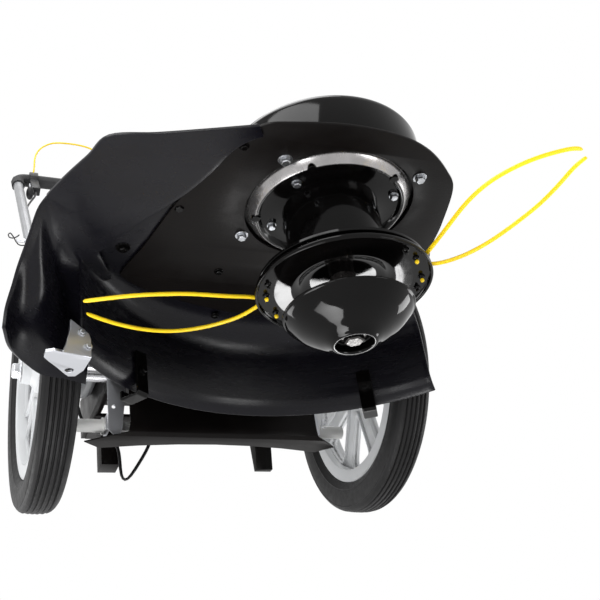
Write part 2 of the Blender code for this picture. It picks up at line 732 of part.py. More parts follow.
def shield_section(angle, bend):
    """One section of the shield, out from under the pan, round the bend and down the wall to the flared lip."""
    middle = SHIELD_HEIGHT + SHIELD_SKIN / 2
    turn_radius = SHIELD_WALL_RADIUS - bend
    section = [(SHIELD_INNER_RADIUS, middle), (turn_radius, middle)]
    for step in range(1, 5):
        swing = pi / 2 * step / 4
        section.append((turn_radius + bend * sin(swing), middle - bend * (1 - cos(swing))))
    section += [(SHIELD_WALL_RADIUS, SHIELD_FLARE_HEIGHT), (SHIELD_WALL_RADIUS + 0.004, SHIELD_FLARE_HEIGHT - 0.010)]
    section += [(SHIELD_LIP_RADIUS, SHIELD_LIP_HEIGHT)]
    return [polar(radius, angle, height) for radius, height in section]


STRIP_OUTER = [(-0.207, 0.089), (-0.191, 0.056), (-0.172, 0.025), (-0.156, -0.003), (-0.142, -0.037)]
STRIP_OUTER += [(-0.134, -0.067), (-0.124, -0.087), (-0.111, -0.098)]


def make_debris_shield():
    """Moulded plastic: a wall behind the cutting head, and a flat strip on along the right of the deck."""
    steps = 20
    wall = []
    for step in range(steps + 1):
        share = step / steps
        angle = SHIELD_END + (SHIELD_START - SHIELD_END) * share
        bend = SHIELD_END_BEND + (SHIELD_BEND - SHIELD_END_BEND) * min(1, share * 2)
        wall.append(shield_section(angle, bend))
    middle = SHIELD_HEIGHT + SHIELD_SKIN / 2
    strip_inner = [(-0.128, 0.060), (-0.124, 0.040), (-0.122, 0.015), (-0.120, -0.010), (-0.117, -0.030)]
    strip_inner += [(-0.112, -0.050), (-0.104, -0.066), (-0.092, -0.080)]
    strip = [wall[0][:2]]
    strip += [[(*inner, middle), (*outer, middle)] for inner, outer in zip(strip_inner, STRIP_OUTER)]
    return skin("debris_shield", [wall, strip], SHIELD_SKIN)


def halved(points):
    """The points with one more between each two, on a smooth curve through them."""
    places = [Vector(point) for point in points]
    places = [2 * places[0] - places[1], *places, 2 * places[-1] - places[-2]]
    finer = []
    for before, start, end, after in zip(places, places[1:], places[2:], places[3:]):
        finer += [start, ((start + end) * 9 - before - after) / 16]
    return [*finer, places[-2]]


def halved_grid(grid):
    rows = [halved(row) for row in grid]
    columns = [halved(column) for column in zip(*rows)]
    return [list(row) for row in zip(*columns)]


def in_metres(points):
    return [Vector(point) / 1000 for point in points]


def make_side_deflector():
    """A folded hood right of the head: flat under the strip, then down to a free edge that ends behind the shield."""
    top = DECK_HEIGHT - FIT - SHIELD_SKIN / 2
    front = [(-0.112, -0.104), (-0.156, -0.0885), (-0.198, -0.0745), (-0.238, -0.0625), (-0.251, -0.032)]
    front += [(-0.264, -0.003), (-0.276, 0.028)]
    root = [(-0.104, -0.092), (-0.117, -0.080), (-0.127, -0.062), (-0.135, -0.034), (-0.149, 0.000)]
    root += [(-0.165, 0.028), (-0.184, 0.059)]
    flat = []
    for inner, outer in zip(root, front):
        start, end = Vector((*inner, top)), Vector((*outer, top))
        flat.append([start.lerp(end, step / 4) for step in range(5)])
    bend = [(-0.213, 0.113), (-0.237, 0.066), (-0.266, 0.040), (-0.272, 0.037), (-0.277, 0.034)]
    flat.append([Vector((x, y, top)) for x, y in bend])
    falling = [
        (150, [(-247, 128), (-260, 96), (-275, 60), (-279, 52), (-283, 45)]),
        (135, [(-240, 158), (-257, 121), (-274, 84), (-282, 75), (-288, 66)]),
        (118, [(-233, 176), (-253, 140), (-271, 106), (-285, 99), (-294, 89)]),
        (100, [(-234, 178), (-253, 152), (-269, 128), (-286, 116), (-298, 98)]),
        (78, [(-236, 186), (-253, 170), (-267, 154), (-290, 131), (-303, 105)]),
        (56, [(-234, 202), (-256, 196), (-272, 180), (-294, 146), (-305, 106)]),
    ]
    tail = [(-222, 152, 156), (-214, 172, 135), (-209, 184, 118), (-208, 190, 100)]
    tail += [(-209, 199, 78), (-210, 213, 56)]
    grid = [[2 * row[0] - row[1], *row] for row in flat]
    for (z, row), end in zip(falling, in_metres(tail)):
        grid.append([end, *in_metres([(x, y, z) for x, y in row])])
    finer = halved_grid(grid)
    for point in sum(finer, []):
        point.z = min(point.z, top)
    hood = [row[2:] for row in finer]
    behind_shield = [row[:3] for row in finer[2 * len(flat):]]
    return skin("side_deflector", [hood, behind_shield], SHIELD_SKIN)


def make_deflector_bracket():
    """A zinc angle at the shield's end. Its leg stands before the wall's edge, and its foot runs back below."""
    heading = SHIELD_END + BRACKET_TURN
    corner = Vector(polar(SHIELD_WALL_RADIUS, SHIELD_END, SHIELD_LIP_HEIGHT - BRACKET_DROP))
    forward = Vector((-sin(heading), cos(heading), 0))
    leg_outline = [(-0.0080, 0.0005), (0.0217, 0.0005), (0.0180, 0.0105), (0.0142, 0.0245), (0.0131, 0.0388)]
    leg_outline += [(-0.0060, 0.0262), (-0.0080, 0.0210)]
    leg = plate("deflector_bracket", leg_outline, BRACKET_SHEET, (), corner + forward * BRACKET_STANDOFF)
    leg.rotation_euler = (pi / 2, 0, heading)
    outline = [(0.0217, 0.0042), (0.0300, 0.0050), (0.0370, -0.0005), (0.0342, -0.0110), (0.0276, -0.0165)]
    outline += [(0.0148, -0.0256), (0.0031, -0.0349), (-0.0033, -0.0394), (-0.0098, -0.0367), (-0.0123, -0.0226)]
    outline += [(-0.0090, -0.0006), (-0.0080, 0.0042)]
    hole = circle(0.0045, (0.0010, -0.0271), 12)
    foot = plate("deflector_bracket_foot", outline, BRACKET_SHEET, (hole,), corner)
    foot.location.z += BRACKET_SHEET / 2
    foot.rotation_euler = (0, 0, heading)
    return join(leg, foot)


def make_shield_clip(side):
    """A strap down the inside of the wall that hooks up round the lip."""
    outer = min(SHIELD_WALL_RADIUS, SHIELD_LIP_RADIUS) - SHIELD_SKIN / 2 - 0.0011
    inner = outer - CLIP_STRAP
    bottom = SHIELD_LIP_HEIGHT - 0.0110
    toe = SHIELD_LIP_RADIUS + 0.0110
    hook_top = SHIELD_LIP_HEIGHT + 0.0010
    outline = [(inner, CLIP_TOP), (inner, bottom + 0.003), (inner + 0.003, bottom), (toe - 0.002, bottom)]
    outline += [(toe, bottom + 0.002), (toe, hook_top), (toe - CLIP_STRAP, hook_top)]
    outline += [(toe - CLIP_STRAP, bottom + CLIP_STRAP), (outer, bottom + CLIP_STRAP), (outer, CLIP_TOP)]
    strap = plate(f"shield_clip_{side}", outline, CLIP_WIDTH)
    strap.rotation_euler = (pi / 2, 0, CLIP_ANGLES[side])
    return strap


# Frame and belt drive


def make_belt_cover():
    """A thin pressed cover over the belt, open below and behind."""
    half = COVER_SHEET / 2
    outline = nose_outline(COVER_NOSE - half, COVER_SIDE - half, COVER_END_Y)
    grid = []
    for x, y in outline:
        spine_y = COVER_END_Y if y == COVER_END_Y else 0
        out = (Vector((x, y)) - Vector((0, spine_y))).normalized()
        section = []
        for inset, drop in ((0, 1.0), (0.0015, 0.6), (0.0045, 0.2), (COVER_ROUNDING, 0)):
            edge = Vector((x, y)) - out * inset
            section.append((edge.x, edge.y, COVER_TOP - half - COVER_ROUNDING * drop))
        grid.append([(x, y, COVER_HEIGHT), *section, (0, spine_y, COVER_TOP - half)])
    return skin("belt_cover", [grid], COVER_SHEET)


def make_chassis_frame():
    """The welded frame: pan, two rails with axle lugs, engine plate, rear cross plate, two feet and the idler's stud."""
    pan_side = RAIL_MIDDLE
    outline = [(pan_side, PAN_END_Y)] + nose_outline(PAN_NOSE, pan_side, COVER_END_Y) + [(-pan_side, PAN_END_Y)]
    spindle_hole = circle(TUBE_RADIUS + FIT)
    pan = plate("chassis_frame", outline, PAN_SHEET, (spindle_hole,), (0, 0, PAN_HEIGHT + PAN_SHEET / 2))
    rail_low = PAN_HEIGHT + 0.001
    rail_high = ENGINE_PLATE_HEIGHT + ENGINE_PLATE + 0.0005
    pieces = []
    for side, sign in (("right", -1), ("left", 1)):
        x_low, x_high = sorted((sign * RAIL_INNER, sign * RAIL_OUTER))
        rail = block(f"rail_{side}", (x_low, RAIL_START_Y, rail_low), (x_high, FRAME_END_Y, rail_high))
        lug_low = (x_low, AXLE_Y - LUG_HALF, LUG_BOTTOM)
        lug = block(f"lug_{side}", lug_low, (x_high, AXLE_Y + LUG_HALF, rail_high - 0.001))
        lug.scale = (0.98, 1, 1)
        foot_x = sign * FOOT_X
        taper = 0.010 if side == "left" else 0
        foot_outline = [(FOOT_Y, PAN_HEIGHT + 0.002), (FOOT_Y + FOOT_LENGTH, PAN_HEIGHT + 0.002)]
        foot_outline += [(FOOT_Y + FOOT_LENGTH - taper, FOOT_BOTTOM), (FOOT_Y + taper, FOOT_BOTTOM)]
        foot = plate(f"foot_{side}", foot_outline, FOOT_WIDTH, (), (foot_x, 0, 0), (pi / 2, 0, pi / 2))
        pieces += [rail, lug, foot]
    plate_low = (-RAIL_MIDDLE, ENGINE_PLATE_START_Y, ENGINE_PLATE_HEIGHT)
    plate_high = (RAIL_MIDDLE, FRAME_END_Y - 0.001, ENGINE_PLATE_HEIGHT + ENGINE_PLATE)
    rear_low = (-RAIL_MIDDLE, REAR_PLATE_START_Y, PAN_HEIGHT)
    rear_high = (RAIL_MIDDLE, FRAME_END_Y - 0.001, PAN_HEIGHT + PAN_SHEET)
    pieces.append(block("engine_plate", plate_low, plate_high))
    pieces.append(block("rear_cross_plate", rear_low, rear_high))
    stud_top = BELT_HEIGHT - BELT_WIDTH / 2
    pieces.append(cylinders("idler_stud", [IDLER_PIVOT], STUD_RADIUS, PAN_HEIGHT + 0.001, stud_top))
    frame = join(pan, *pieces)
    hole_reach = RAIL_OUTER + 0.01
    axle_place = (0, AXLE_Y, AXLE_HEIGHT)
    axle_holes = drum("axle_holes", AXLE_RADIUS + FIT, -hole_reach, hole_reach, SMALL_STEPS, axle_place, ACROSS)
    crank_low = ENGINE_PLATE_HEIGHT - 0.01
    crank_hole = cylinders("crank_hole", [(0, CRANK_Y)], CRANK_HOLE_RADIUS, crank_low, crank_low + 0.03, SMALL_STEPS)
    return cut(frame, axle_holes, crank_hole)


def make_axle_guard():
    """A folded sheet in front of the axle, with a lip that runs back under it to two points."""
    face_top = PAN_HEIGHT - SLIDING_FIT - 0.001
    rows = [
        (GUARD_FACE_Y, face_top, -0.118, 0.138, 0),
        (GUARD_FACE_Y, GUARD_LIP_HEIGHT + 0.0140, -0.118, 0.138, 0),
        (GUARD_FACE_Y + 0.0015, GUARD_LIP_HEIGHT + 0.0043, -0.120, 0.140, 0),
        (GUARD_FACE_Y + 0.0055, GUARD_LIP_HEIGHT + 0.0006, -0.140, 0.150, 0),
        (GUARD_FACE_Y + 0.0160, GUARD_LIP_HEIGHT, -0.172, 0.172, GUARD_LIP_SWEEP / 2),
        (GUARD_FACE_Y + 0.0250, GUARD_LIP_HEIGHT, -0.150, 0.150, GUARD_LIP_SWEEP),
    ]
    columns = 6
    grid = []
    for y, z, right, left, sweep in rows:
        row = []
        for step in range(columns + 1):
            share = step / columns
            row.append((right + (left - right) * share, y + sweep * (2 * share - 1) ** 2, z))
        grid.append(row)
    return skin("axle_guard", [grid], GUARD_SHEET)


def make_axle_bracket(side, sign):
    """A zinc plate in front of the axle lug, narrowing to an ear that holds the guard rod."""
    top = PAN_HEIGHT - FIT
    outer = RAIL_OUTER + 0.0020
    bottom = AXLE_BRACKET_BOTTOM
    outline = [(outer, top), (0.1180, top), (0.1270, bottom + 0.007), (0.1300, bottom), (outer - 0.006, bottom)]
    outline += [(outer, bottom + 0.006)]
    outline = [(sign * x, z) for x, z in outline]
    slot = circle(0.0025, (sign * 0.1370, bottom + 0.038), 12)
    middle = AXLE_BRACKET_Y + AXLE_BRACKET_SHEET / 2
    face = plate(f"axle_bracket_{side}", outline, AXLE_BRACKET_SHEET, (slot,), (0, middle, 0), (pi / 2, 0, 0))
    ear_x = sorted((sign * (outer - 0.0015), sign * (outer + 0.0015)))
    ear_low = (ear_x[0], AXLE_BRACKET_Y + 0.0005, GUARD_ROD_HEIGHT - 0.0110)
    ear_high = (ear_x[1], AXLE_Y + 0.0110, GUARD_ROD_HEIGHT + 0.0110)
    ear = block(f"axle_bracket_ear_{side}", ear_low, ear_high)
    hole = drum(f"rod_hole_{side}", GUARD_ROD_RADIUS + FIT, outer - 0.01, outer + 0.01)
    hole.location = (0, AXLE_Y, GUARD_ROD_HEIGHT)
    hole.rotation_euler = (0, sign * pi / 2, 0)
    return cut(join(face, ear), hole)


def make_guard_rod():
    """The rod behind the guard, with a sleeve and a collar at each end."""
    end = GUARD_ROD_LENGTH / 2
    collar_in = RAIL_OUTER + 0.0039
    profile = [(0, end), (SLEEVE_RADIUS, end), (SLEEVE_RADIUS, collar_in + 0.004), (0.0110, collar_in + 0.004)]
    profile += [(0.0110, collar_in), (GUARD_ROD_RADIUS, collar_in)]
    profile += [(radius, -height) for radius, height in reversed(profile)]
    return turned("guard_rod", profile, SMALL_STEPS, (0, AXLE_Y, GUARD_ROD_HEIGHT), ACROSS)


def make_guard_spring():
    """A pull spring beside the guard. Its curls come from a helix, and its least gap to itself is printed."""
    low = Vector((0.1490, GUARD_FACE_Y + 0.001, 0.1000))
    high = Vector((0.1590, GUARD_FACE_Y + 0.001, 0.1460))
    along = (high - low).normalized()
    side = along.cross(Vector((0, 1, 0))).normalized()
    front = along.cross(side)
    curl_points = 8
    count = SPRING_CURLS * curl_points
    route = [low - along * 0.004]
    for step in range(count + 1):
        swing = 2 * pi * step / curl_points
        axis_point = low + (high - low) * step / count
        route.append(axis_point + (side * cos(swing) + front * sin(swing)) * SPRING_RADIUS)
    route.append(high + along * 0.004)
    gap = min((route[i] - route[i + curl_points]).length for i in range(1, count - curl_points)) - 2 * SPRING_WIRE
    print(f"guard_spring least gap between curls: {gap * 1000:.2f} mm")
    return tube("guard_spring", route, SPRING_WIRE, 6)


def make_drive_belt():
    """An open loop of belt round both pulleys."""
    lean = asin((SPINDLE_BELT_RADIUS - CRANK_BELT_RADIUS) / CRANK_Y)

    def loop(offset):
        points = []
        for centre_y, radius, start, sweep in (
            (0, SPINDLE_BELT_RADIUS + offset, pi - lean, pi + 2 * lean),
            (CRANK_Y, CRANK_BELT_RADIUS + offset, lean, pi - 2 * lean),
        ):
            for step in range(17):
                angle = start + sweep * step / 16
                points.append((radius * cos(angle), centre_y + radius * sin(angle)))
        return points

    half = BELT_THICKNESS / 2
    return plate("drive_belt", loop(half), BELT_WIDTH, (loop(-half),), (0, 0, BELT_HEIGHT))


def make_crankshaft():
    """The engine's shaft from its belt pulley up to the flywheel, turned in one."""
    flywheel_low = BLOWER_BOTTOM + 0.012
    flywheel_high = flywheel_low + FLYWHEEL_THICKNESS
    profile = [(0, flywheel_high), (FLYWHEEL_RADIUS, flywheel_high), (FLYWHEEL_RADIUS, flywheel_low)]
    profile += [(CRANK_RADIUS, flywheel_low), (CRANK_RADIUS, CRANK_BOTTOM), (0, CRANK_BOTTOM)]
    return turned("crankshaft", profile, TURN_STEPS, (0, CRANK_Y, 0))


def make_crank_pulley():
    return grooved_pulley("crank_pulley", CRANK_BELT_RADIUS, CRANK_RADIUS + FIT, (0, CRANK_Y))


def make_idler_arm():
    """A flat arm on the frame's stud, with its own stud for the idler pulley."""
    low = COVER_HEIGHT + 0.0070
    pivot, tip = Vector(IDLER_PIVOT), Vector(IDLER_PLACE)
    along = (tip - pivot).normalized()
    heading = atan2(along.y, along.x)
    end = 0.0090
    outline = []
    for centre, start in ((tip, heading - pi / 2), (pivot, heading + pi / 2)):
        for step in range(9):
            angle = start + pi * step / 8
            outline.append((centre.x + end * cos(angle), centre.y + end * sin(angle)))
    hole = circle(STUD_RADIUS + FIT, IDLER_PIVOT, 16)
    arm = plate("idler_arm", outline, ARM_SHEET, (hole,), (0, 0, low + ARM_SHEET / 2))
    stud = cylinders("idler_arm_stud", [IDLER_PLACE], STUD_RADIUS, low + 0.001, BELT_HEIGHT + PULLEY_HALF)
    return join(arm, stud)


def make_idler_pulley():
    low = COVER_HEIGHT + 0.0070 + ARM_SHEET + SLIDING_FIT
    high = BELT_HEIGHT + PULLEY_HALF
    rim = IDLER_RADIUS
    profile = [(rim, high), (rim, high - 0.002), (rim - 0.0015, high - 0.003), (rim - 0.0015, low + 0.003)]
    profile += [(rim, low + 0.002), (rim, low), (STUD_RADIUS + FIT, low), (STUD_RADIUS + FIT, high)]
    return turned("idler_pulley", profile, SMALL_STEPS, (*IDLER_PLACE, 0))


# Engine


def make_engine_block():
    """A crankcase round the shaft, a finned cylinder forward of it and the neck of the oil filler."""
    case_profile = [(CRANK_RADIUS + FIT * 2, CRANKCASE_TOP), (CRANKCASE_RADIUS, CRANKCASE_TOP)]
    case_profile += [(CRANKCASE_RADIUS, ENGINE_HEIGHT), (CRANK_RADIUS + FIT * 2, ENGINE_HEIGHT)]
    case = turned("engine_block", case_profile, TURN_STEPS, (0, CRANK_Y, 0))
    core = CYLINDER_HALF - FIN_DEPTH
    core_low = (-core, CYLINDER_FRONT_Y + 0.001, CYLINDER_LOW + 0.007)
    cylinder = [block("cylinder", core_low, (core, CRANK_Y - 0.05, CRANKCASE_TOP - 0.009))]
    fin_pitch = (CRANK_Y - CRANKCASE_RADIUS - CYLINDER_FRONT_Y) / FINS
    for fin in range(FINS):
        start = CYLINDER_FRONT_Y + fin * fin_pitch
        fin_high = (CYLINDER_HALF, start + fin_pitch * 0.4, CRANKCASE_TOP - 0.002)
        cylinder.append(block(f"fin_{fin}", (-CYLINDER_HALF, start, CYLINDER_LOW), fin_high))
    neck_x, neck_y = OIL_NECK_PLACE
    neck = drum("oil_neck", OIL_NECK_RADIUS, ENGINE_HEIGHT + 0.012, OIL_NECK_TOP, SMALL_STEPS, (neck_x, neck_y, 0))
    web_low = (CRANKCASE_RADIUS * 0.5, neck_y - 0.009, ENGINE_HEIGHT + 0.014)
    web = block("oil_neck_web", web_low, (neck_x, neck_y + 0.009, ENGINE_HEIGHT + 0.036))
    return join(case, *cylinder, neck, web)


def make_blower_housing():
    """The round housing over the flywheel with the starter's drum cover on top, open below."""
    top, shoulder, bottom, wall = BLOWER_TOP, BLOWER_SHOULDER, BLOWER_BOTTOM, BLOWER_WALL
    profile = [(0, top), (RECOIL_RADIUS - 0.005, top), (RECOIL_RADIUS, top - 0.005), (RECOIL_RADIUS, shoulder + 0.005)]
    profile += [(BLOWER_RADIUS - 0.008, shoulder), (BLOWER_RADIUS, shoulder - 0.008), (BLOWER_RADIUS, bottom)]
    profile += [(BLOWER_RADIUS - wall, bottom), (BLOWER_RADIUS - wall, shoulder - 0.011)]
    profile += [(RECOIL_RADIUS - wall, shoulder - wall), (RECOIL_RADIUS - wall, top - 0.006), (0, top - wall)]
    return turned("blower_housing", profile, TURN_STEPS, (0, CRANK_Y, 0))


def make_fuel_tank():
    high = (TANK_HALF_WIDTH, TANK_START_Y + TANK_LENGTH, TANK_TOP)
    return block("fuel_tank", (-TANK_HALF_WIDTH, TANK_START_Y, ENGINE_HEIGHT), high, 0.014, 3)


def screw_cap(name, radius, height, place):
    profile = [(0, height), (radius * 0.85, height), (radius, height * 0.8), (radius, 0), (0, 0)]
    return turned(name, profile, SMALL_STEPS, place)


def make_fuel_cap():
    return screw_cap("fuel_cap", CAP_RADIUS, CAP_HEIGHT, (*CAP_PLACE, TANK_TOP + FIT))


def make_oil_cap():
    return screw_cap("oil_cap", OIL_CAP_RADIUS, 0.0140, (*OIL_NECK_PLACE, OIL_NECK_TOP + FIT))


def make_muffler():
    low = (CYLINDER_HALF + FIT, CYLINDER_FRONT_Y + 0.005, CYLINDER_LOW)
    return block("muffler", low, (low[0] + 0.070, low[1] + 0.060, low[2] + 0.068), 0.008)


def make_carburettor():
    low = (-CLEANER_INNER + FIT, CYLINDER_FRONT_Y + 0.025, CYLINDER_LOW + 0.017)
    return block("carburettor", low, (-CYLINDER_HALF - FIT, low[1] + 0.040, low[2] + 0.040), 0.003)


def make_air_cleaner():
    """A box with a pocket in its outer face for the primer bulb."""
    bulb_y, bulb_z = BULB_PLACE
    low = (-CLEANER_OUTER, CYLINDER_FRONT_Y + 0.005, ENGINE_HEIGHT + CLEANER_RISE)
    high = (-CLEANER_INNER, CYLINDER_FRONT_Y + 0.110, BLOWER_BOTTOM - 0.003)
    box = block("air_cleaner", low, high, 0.008)
    pocket_depth = 0.0060 + BULB_TRAVEL
    pocket = drum("bulb_pocket", BULB_RADIUS + SLIDING_FIT, -0.01, pocket_depth, SMALL_STEPS)
    pocket.location = (-CLEANER_OUTER, bulb_y, bulb_z)
    pocket.rotation_euler = ACROSS
    return cut(box, pocket)


def make_primer_bulb():
    bulb_y, bulb_z = BULB_PLACE
    height = 0.0150
    profile = [(0, height), (BULB_RADIUS * 0.5, height * 0.93), (BULB_RADIUS * 0.85, height * 0.72)]
    profile += [(BULB_RADIUS, height * 0.4), (BULB_RADIUS, 0), (0, 0)]
    base = -CLEANER_OUTER + 0.0055
    return turned("primer_bulb", profile, SMALL_STEPS, (base, bulb_y, bulb_z), (0, -pi / 2, 0))


def make_spark_plug():
    height = 0.0450
    profile = [(0, height), (0.0030, height), (0.0045, height * 0.6), (0.0065, height * 0.55), (0.0065, height * 0.35)]
    profile += [(0.0105, height * 0.35), (0.0105, height * 0.12), (0.0080, height * 0.10), (0.0080, 0), (0, 0)]
    middle = (CYLINDER_LOW + CRANKCASE_TOP) / 2
    return turned("spark_plug", profile, 16, (0, CYLINDER_FRONT_Y - FIT, middle), (pi / 2, 0, 0))


def make_starter_grip():
    """The pull handle at rest on the blower housing."""
    radius = 0.0090
    half = 0.0300
    profile = [(0, half), (radius * 0.7, half - 0.002), (radius, half - 0.008), (radius * 0.8, 0)]
    profile += [(r, -z) for r, z in reversed(profile[:-1])]
    reach = RECOIL_RADIUS + 0.0200
    place = (-reach * cos(pi / 4), CRANK_Y + reach * sin(pi / 4), BLOWER_SHOULDER + radius + 0.0035)
    return turned("starter_grip", profile, 16, place, (pi / 2, 0, -pi / 4))


# Handle. Places on it are (x, distance up the slope from the crossbar, height off the handle's plane)


def on_handle(x, along, off=0.0):
    y = HANDLE_TOP[0] + along * cos(HANDLE_SLOPE) - off * sin(HANDLE_SLOPE)
    z = HANDLE_TOP[1] + along * sin(HANDLE_SLOPE) + off * cos(HANDLE_SLOPE)
    return Vector((x, y, z))


def pin_holes(name):
    """The bore for the two fold pins, right across the handle."""
    reach = UPPER_HANDLE_X + 0.03
    centre = on_handle(0, -FOLD_DISTANCE)
    return drum(name, PIN_RADIUS + FIT * 2, -reach, reach, 16, centre, ACROSS)


def make_lower_handle():
    """Two tubes bolted outside the rails, rising to the fold pins, with a brace between them."""
    top = -FOLD_DISTANCE + TUBE_OVERLAP
    tubes = []
    for name, x in (("lower_handle", -LOWER_HANDLE_X), ("lower_handle_left", LOWER_HANDLE_X)):
        route = rounded_route([(x, *HANDLE_FOOT), (x, *HANDLE_BEND), on_handle(x, top)], LOWER_BEND_RADIUS)
        tubes.append(tube(name, route, TUBE_HANDLE_RADIUS))
    bend_distance = hypot(HANDLE_TOP[0] - HANDLE_BEND[0], HANDLE_TOP[1] - HANDLE_BEND[1])
    brace_along = BRACE_DISTANCE - bend_distance
    brace_ends = [on_handle(-LOWER_HANDLE_X, brace_along), on_handle(LOWER_HANDLE_X, brace_along)]
    brace = tube("brace", brace_ends, BRACE_RADIUS, 10)
    return cut(join(tubes[0], brace, tubes[1]), pin_holes("lower_pin_holes"))


def upper_handle_route(leg):
    """The U of the upper handle, with legs of this length below the crossbar."""
    corners = [on_handle(-UPPER_HANDLE_X, -leg), on_handle(-UPPER_HANDLE_X, 0)]
    corners += [on_handle(UPPER_HANDLE_X, 0), on_handle(UPPER_HANDLE_X, -leg)]
    return rounded_route(corners, UPPER_BEND_RADIUS)


def make_upper_handle():
    bar = tube("upper_handle", upper_handle_route(FOLD_DISTANCE + TUBE_OVERLAP), TUBE_HANDLE_RADIUS)
    return cut(bar, pin_holes("upper_pin_holes"))


def make_handle_grip():
    """A foam sleeve over the crossbar and both corners."""
    sleeve = tube("handle_grip", upper_handle_route(GRIP_LEG), GRIP_RADIUS)
    bore = tube("grip_bore", upper_handle_route(GRIP_LEG + 0.02), TUBE_HANDLE_RADIUS + FIT)
    return cut(sleeve, bore)


def make_handle_pin(side, sign):
    """A clevis pin through both tubes. Its tail takes a spring clip."""
    head_in = LOWER_HANDLE_X - TUBE_HANDLE_RADIUS - FIT - PIN_HEAD
    tail = UPPER_HANDLE_X + TUBE_HANDLE_RADIUS + PIN_TAIL
    profile = [(0, tail), (PIN_RADIUS, tail), (PIN_RADIUS, head_in + PIN_HEAD), (PIN_HEAD_RADIUS, head_in + PIN_HEAD)]
    profile += [(PIN_HEAD_RADIUS, head_in), (0, head_in)]
    turn = (0, sign * pi / 2, 0)
    return turned(f"handle_pin_{side}", profile, 16, on_handle(0, -FOLD_DISTANCE), turn)


def clamp_ring(name, x):
    place = on_handle(x, 0)
    half = CLAMP_WIDTH / 2
    return ring(name, CLAMP_BORE + CLAMP_WALL, CLAMP_BORE, -half, half, TURN_STEPS, place, ACROSS)


def handle_block(name, low, high, rounding=0.0):
    """A box whose corners are given as (x, along, off), turned to the handle's slope."""
    shape = block(name, low, high, rounding)
    shape.location = on_handle(*shape.location)
    shape.rotation_euler = (HANDLE_SLOPE, 0, 0)
    return shape


def make_throttle_control():
    """A clamp on the crossbar with a rounded box under it and a stud for the lever."""
    half = CLAMP_WIDTH / 2
    ring_shape = clamp_ring("throttle_control", THROTTLE_X)
    box_low = (THROTTLE_X - half - 0.001, -THROTTLE_LENGTH, -0.0100)
    box_high = (THROTTLE_X + half + 0.001, -CLAMP_BORE - 0.0020, 0.0100)
    box = handle_block("throttle_box", box_low, box_high, 0.003)
    stud_place = on_handle(THROTTLE_X - half - 0.001, -THROTTLE_PIVOT)
    stud = drum("throttle_stud", 0.0030, -0.004, 0.005, 12, stud_place, (0, -pi / 2, 0))
    return join(ring_shape, box, stud)


def make_throttle_lever():
    """A thin lever on the outer face of the throttle's box."""
    x = THROTTLE_X - CLAMP_WIDTH / 2 - 0.001 - FIT * 2 - LEVER_SHEET / 2
    outline = [(0.006, -0.004), (0.006, 0.004), (0.002, 0.007), (-0.035, 0.004), (-0.050, 0.003), (-0.050, -0.003)]
    outline += [(-0.035, -0.004), (0.002, -0.007)]
    hole = circle(0.0030 + FIT, (0, 0), 12)
    lever = plate("throttle_lever", outline, LEVER_SHEET, (hole,), on_handle(x, -THROTTLE_PIVOT))
    lever.matrix_world = Matrix.LocRotScale(
        on_handle(x, -THROTTLE_PIVOT),
        Euler((HANDLE_SLOPE, 0, 0)).to_quaternion() @ Euler((pi / 2, 0, pi / 2)).to_quaternion(),
        None,
    )
    return lever


def make_lever_bracket():
    """A clamp on the crossbar with a plate that carries the clutch lever's pin."""
    ring_shape = clamp_ring("lever_bracket", CLUTCH_X)
    half = CLAMP_WIDTH / 2
    tab_low = (CLUTCH_X - half + 0.001, -CLUTCH_PIVOT - 0.012, -0.0115)
    tab_high = (CLUTCH_X + half - 0.001, -CLAMP_BORE - 0.0020, -0.0075)
    tab = handle_block("lever_tab", tab_low, tab_high)
    pin = drum("lever_pin", STUD_RADIUS, -0.0095, 0.0090, 16, on_handle(CLUTCH_X, -CLUTCH_PIVOT))
    pin.rotation_euler = (HANDLE_SLOPE, 0, 0)
    return join(ring_shape, tab, pin)


def make_clutch_lever():
    """A bent bar under the crossbar, with an eye on the bracket's pin."""
    slope = (HANDLE_SLOPE, 0, 0)
    pivot = on_handle(CLUTCH_X, -CLUTCH_PIVOT)
    eye = ring("clutch_lever", 0.0090, STUD_RADIUS + FIT, -0.0060, 0.0060, SMALL_STEPS, pivot, slope)
    corners = [on_handle(CLUTCH_X + 0.0060, -CLUTCH_PIVOT), on_handle(CLUTCH_X + 0.022, -CLUTCH_PIVOT - 0.012)]
    corners.append(on_handle(CLUTCH_X + CLUTCH_REACH, -CLUTCH_PIVOT - 0.008))
    bar = tube("clutch_bar", rounded_route(corners, 0.012), CLUTCH_RADIUS)
    return join(eye, bar)


def make_throttle_cable_upper():
    """From the throttle's box to the fold, behind the right-hand tube."""
    behind = -CABLE_OFFSET
    tube_x = -UPPER_HANDLE_X + 0.010
    fold_x = -(LOWER_HANDLE_X + TUBE_HANDLE_RADIUS + CABLE_RADIUS + SLIDING_FIT)
    route = [(THROTTLE_X, -THROTTLE_LENGTH - FIT, 0), (THROTTLE_X, -THROTTLE_LENGTH - 0.010, 0)]
    route += [(THROTTLE_X - 0.003, -THROTTLE_LENGTH - 0.024, -0.004)]
    route += [(THROTTLE_X - 0.016, -THROTTLE_LENGTH - 0.052, -0.012), (tube_x, -THROTTLE_LENGTH - 0.110, behind)]
    route += [(tube_x, -FOLD_DISTANCE + 0.080, behind), (fold_x, -FOLD_DISTANCE + FIT / 2, behind)]
    points = [on_handle(*place) for place in route]
    return tube("throttle_cable_upper", smooth_route(points, 0.0175), CABLE_RADIUS, 8)


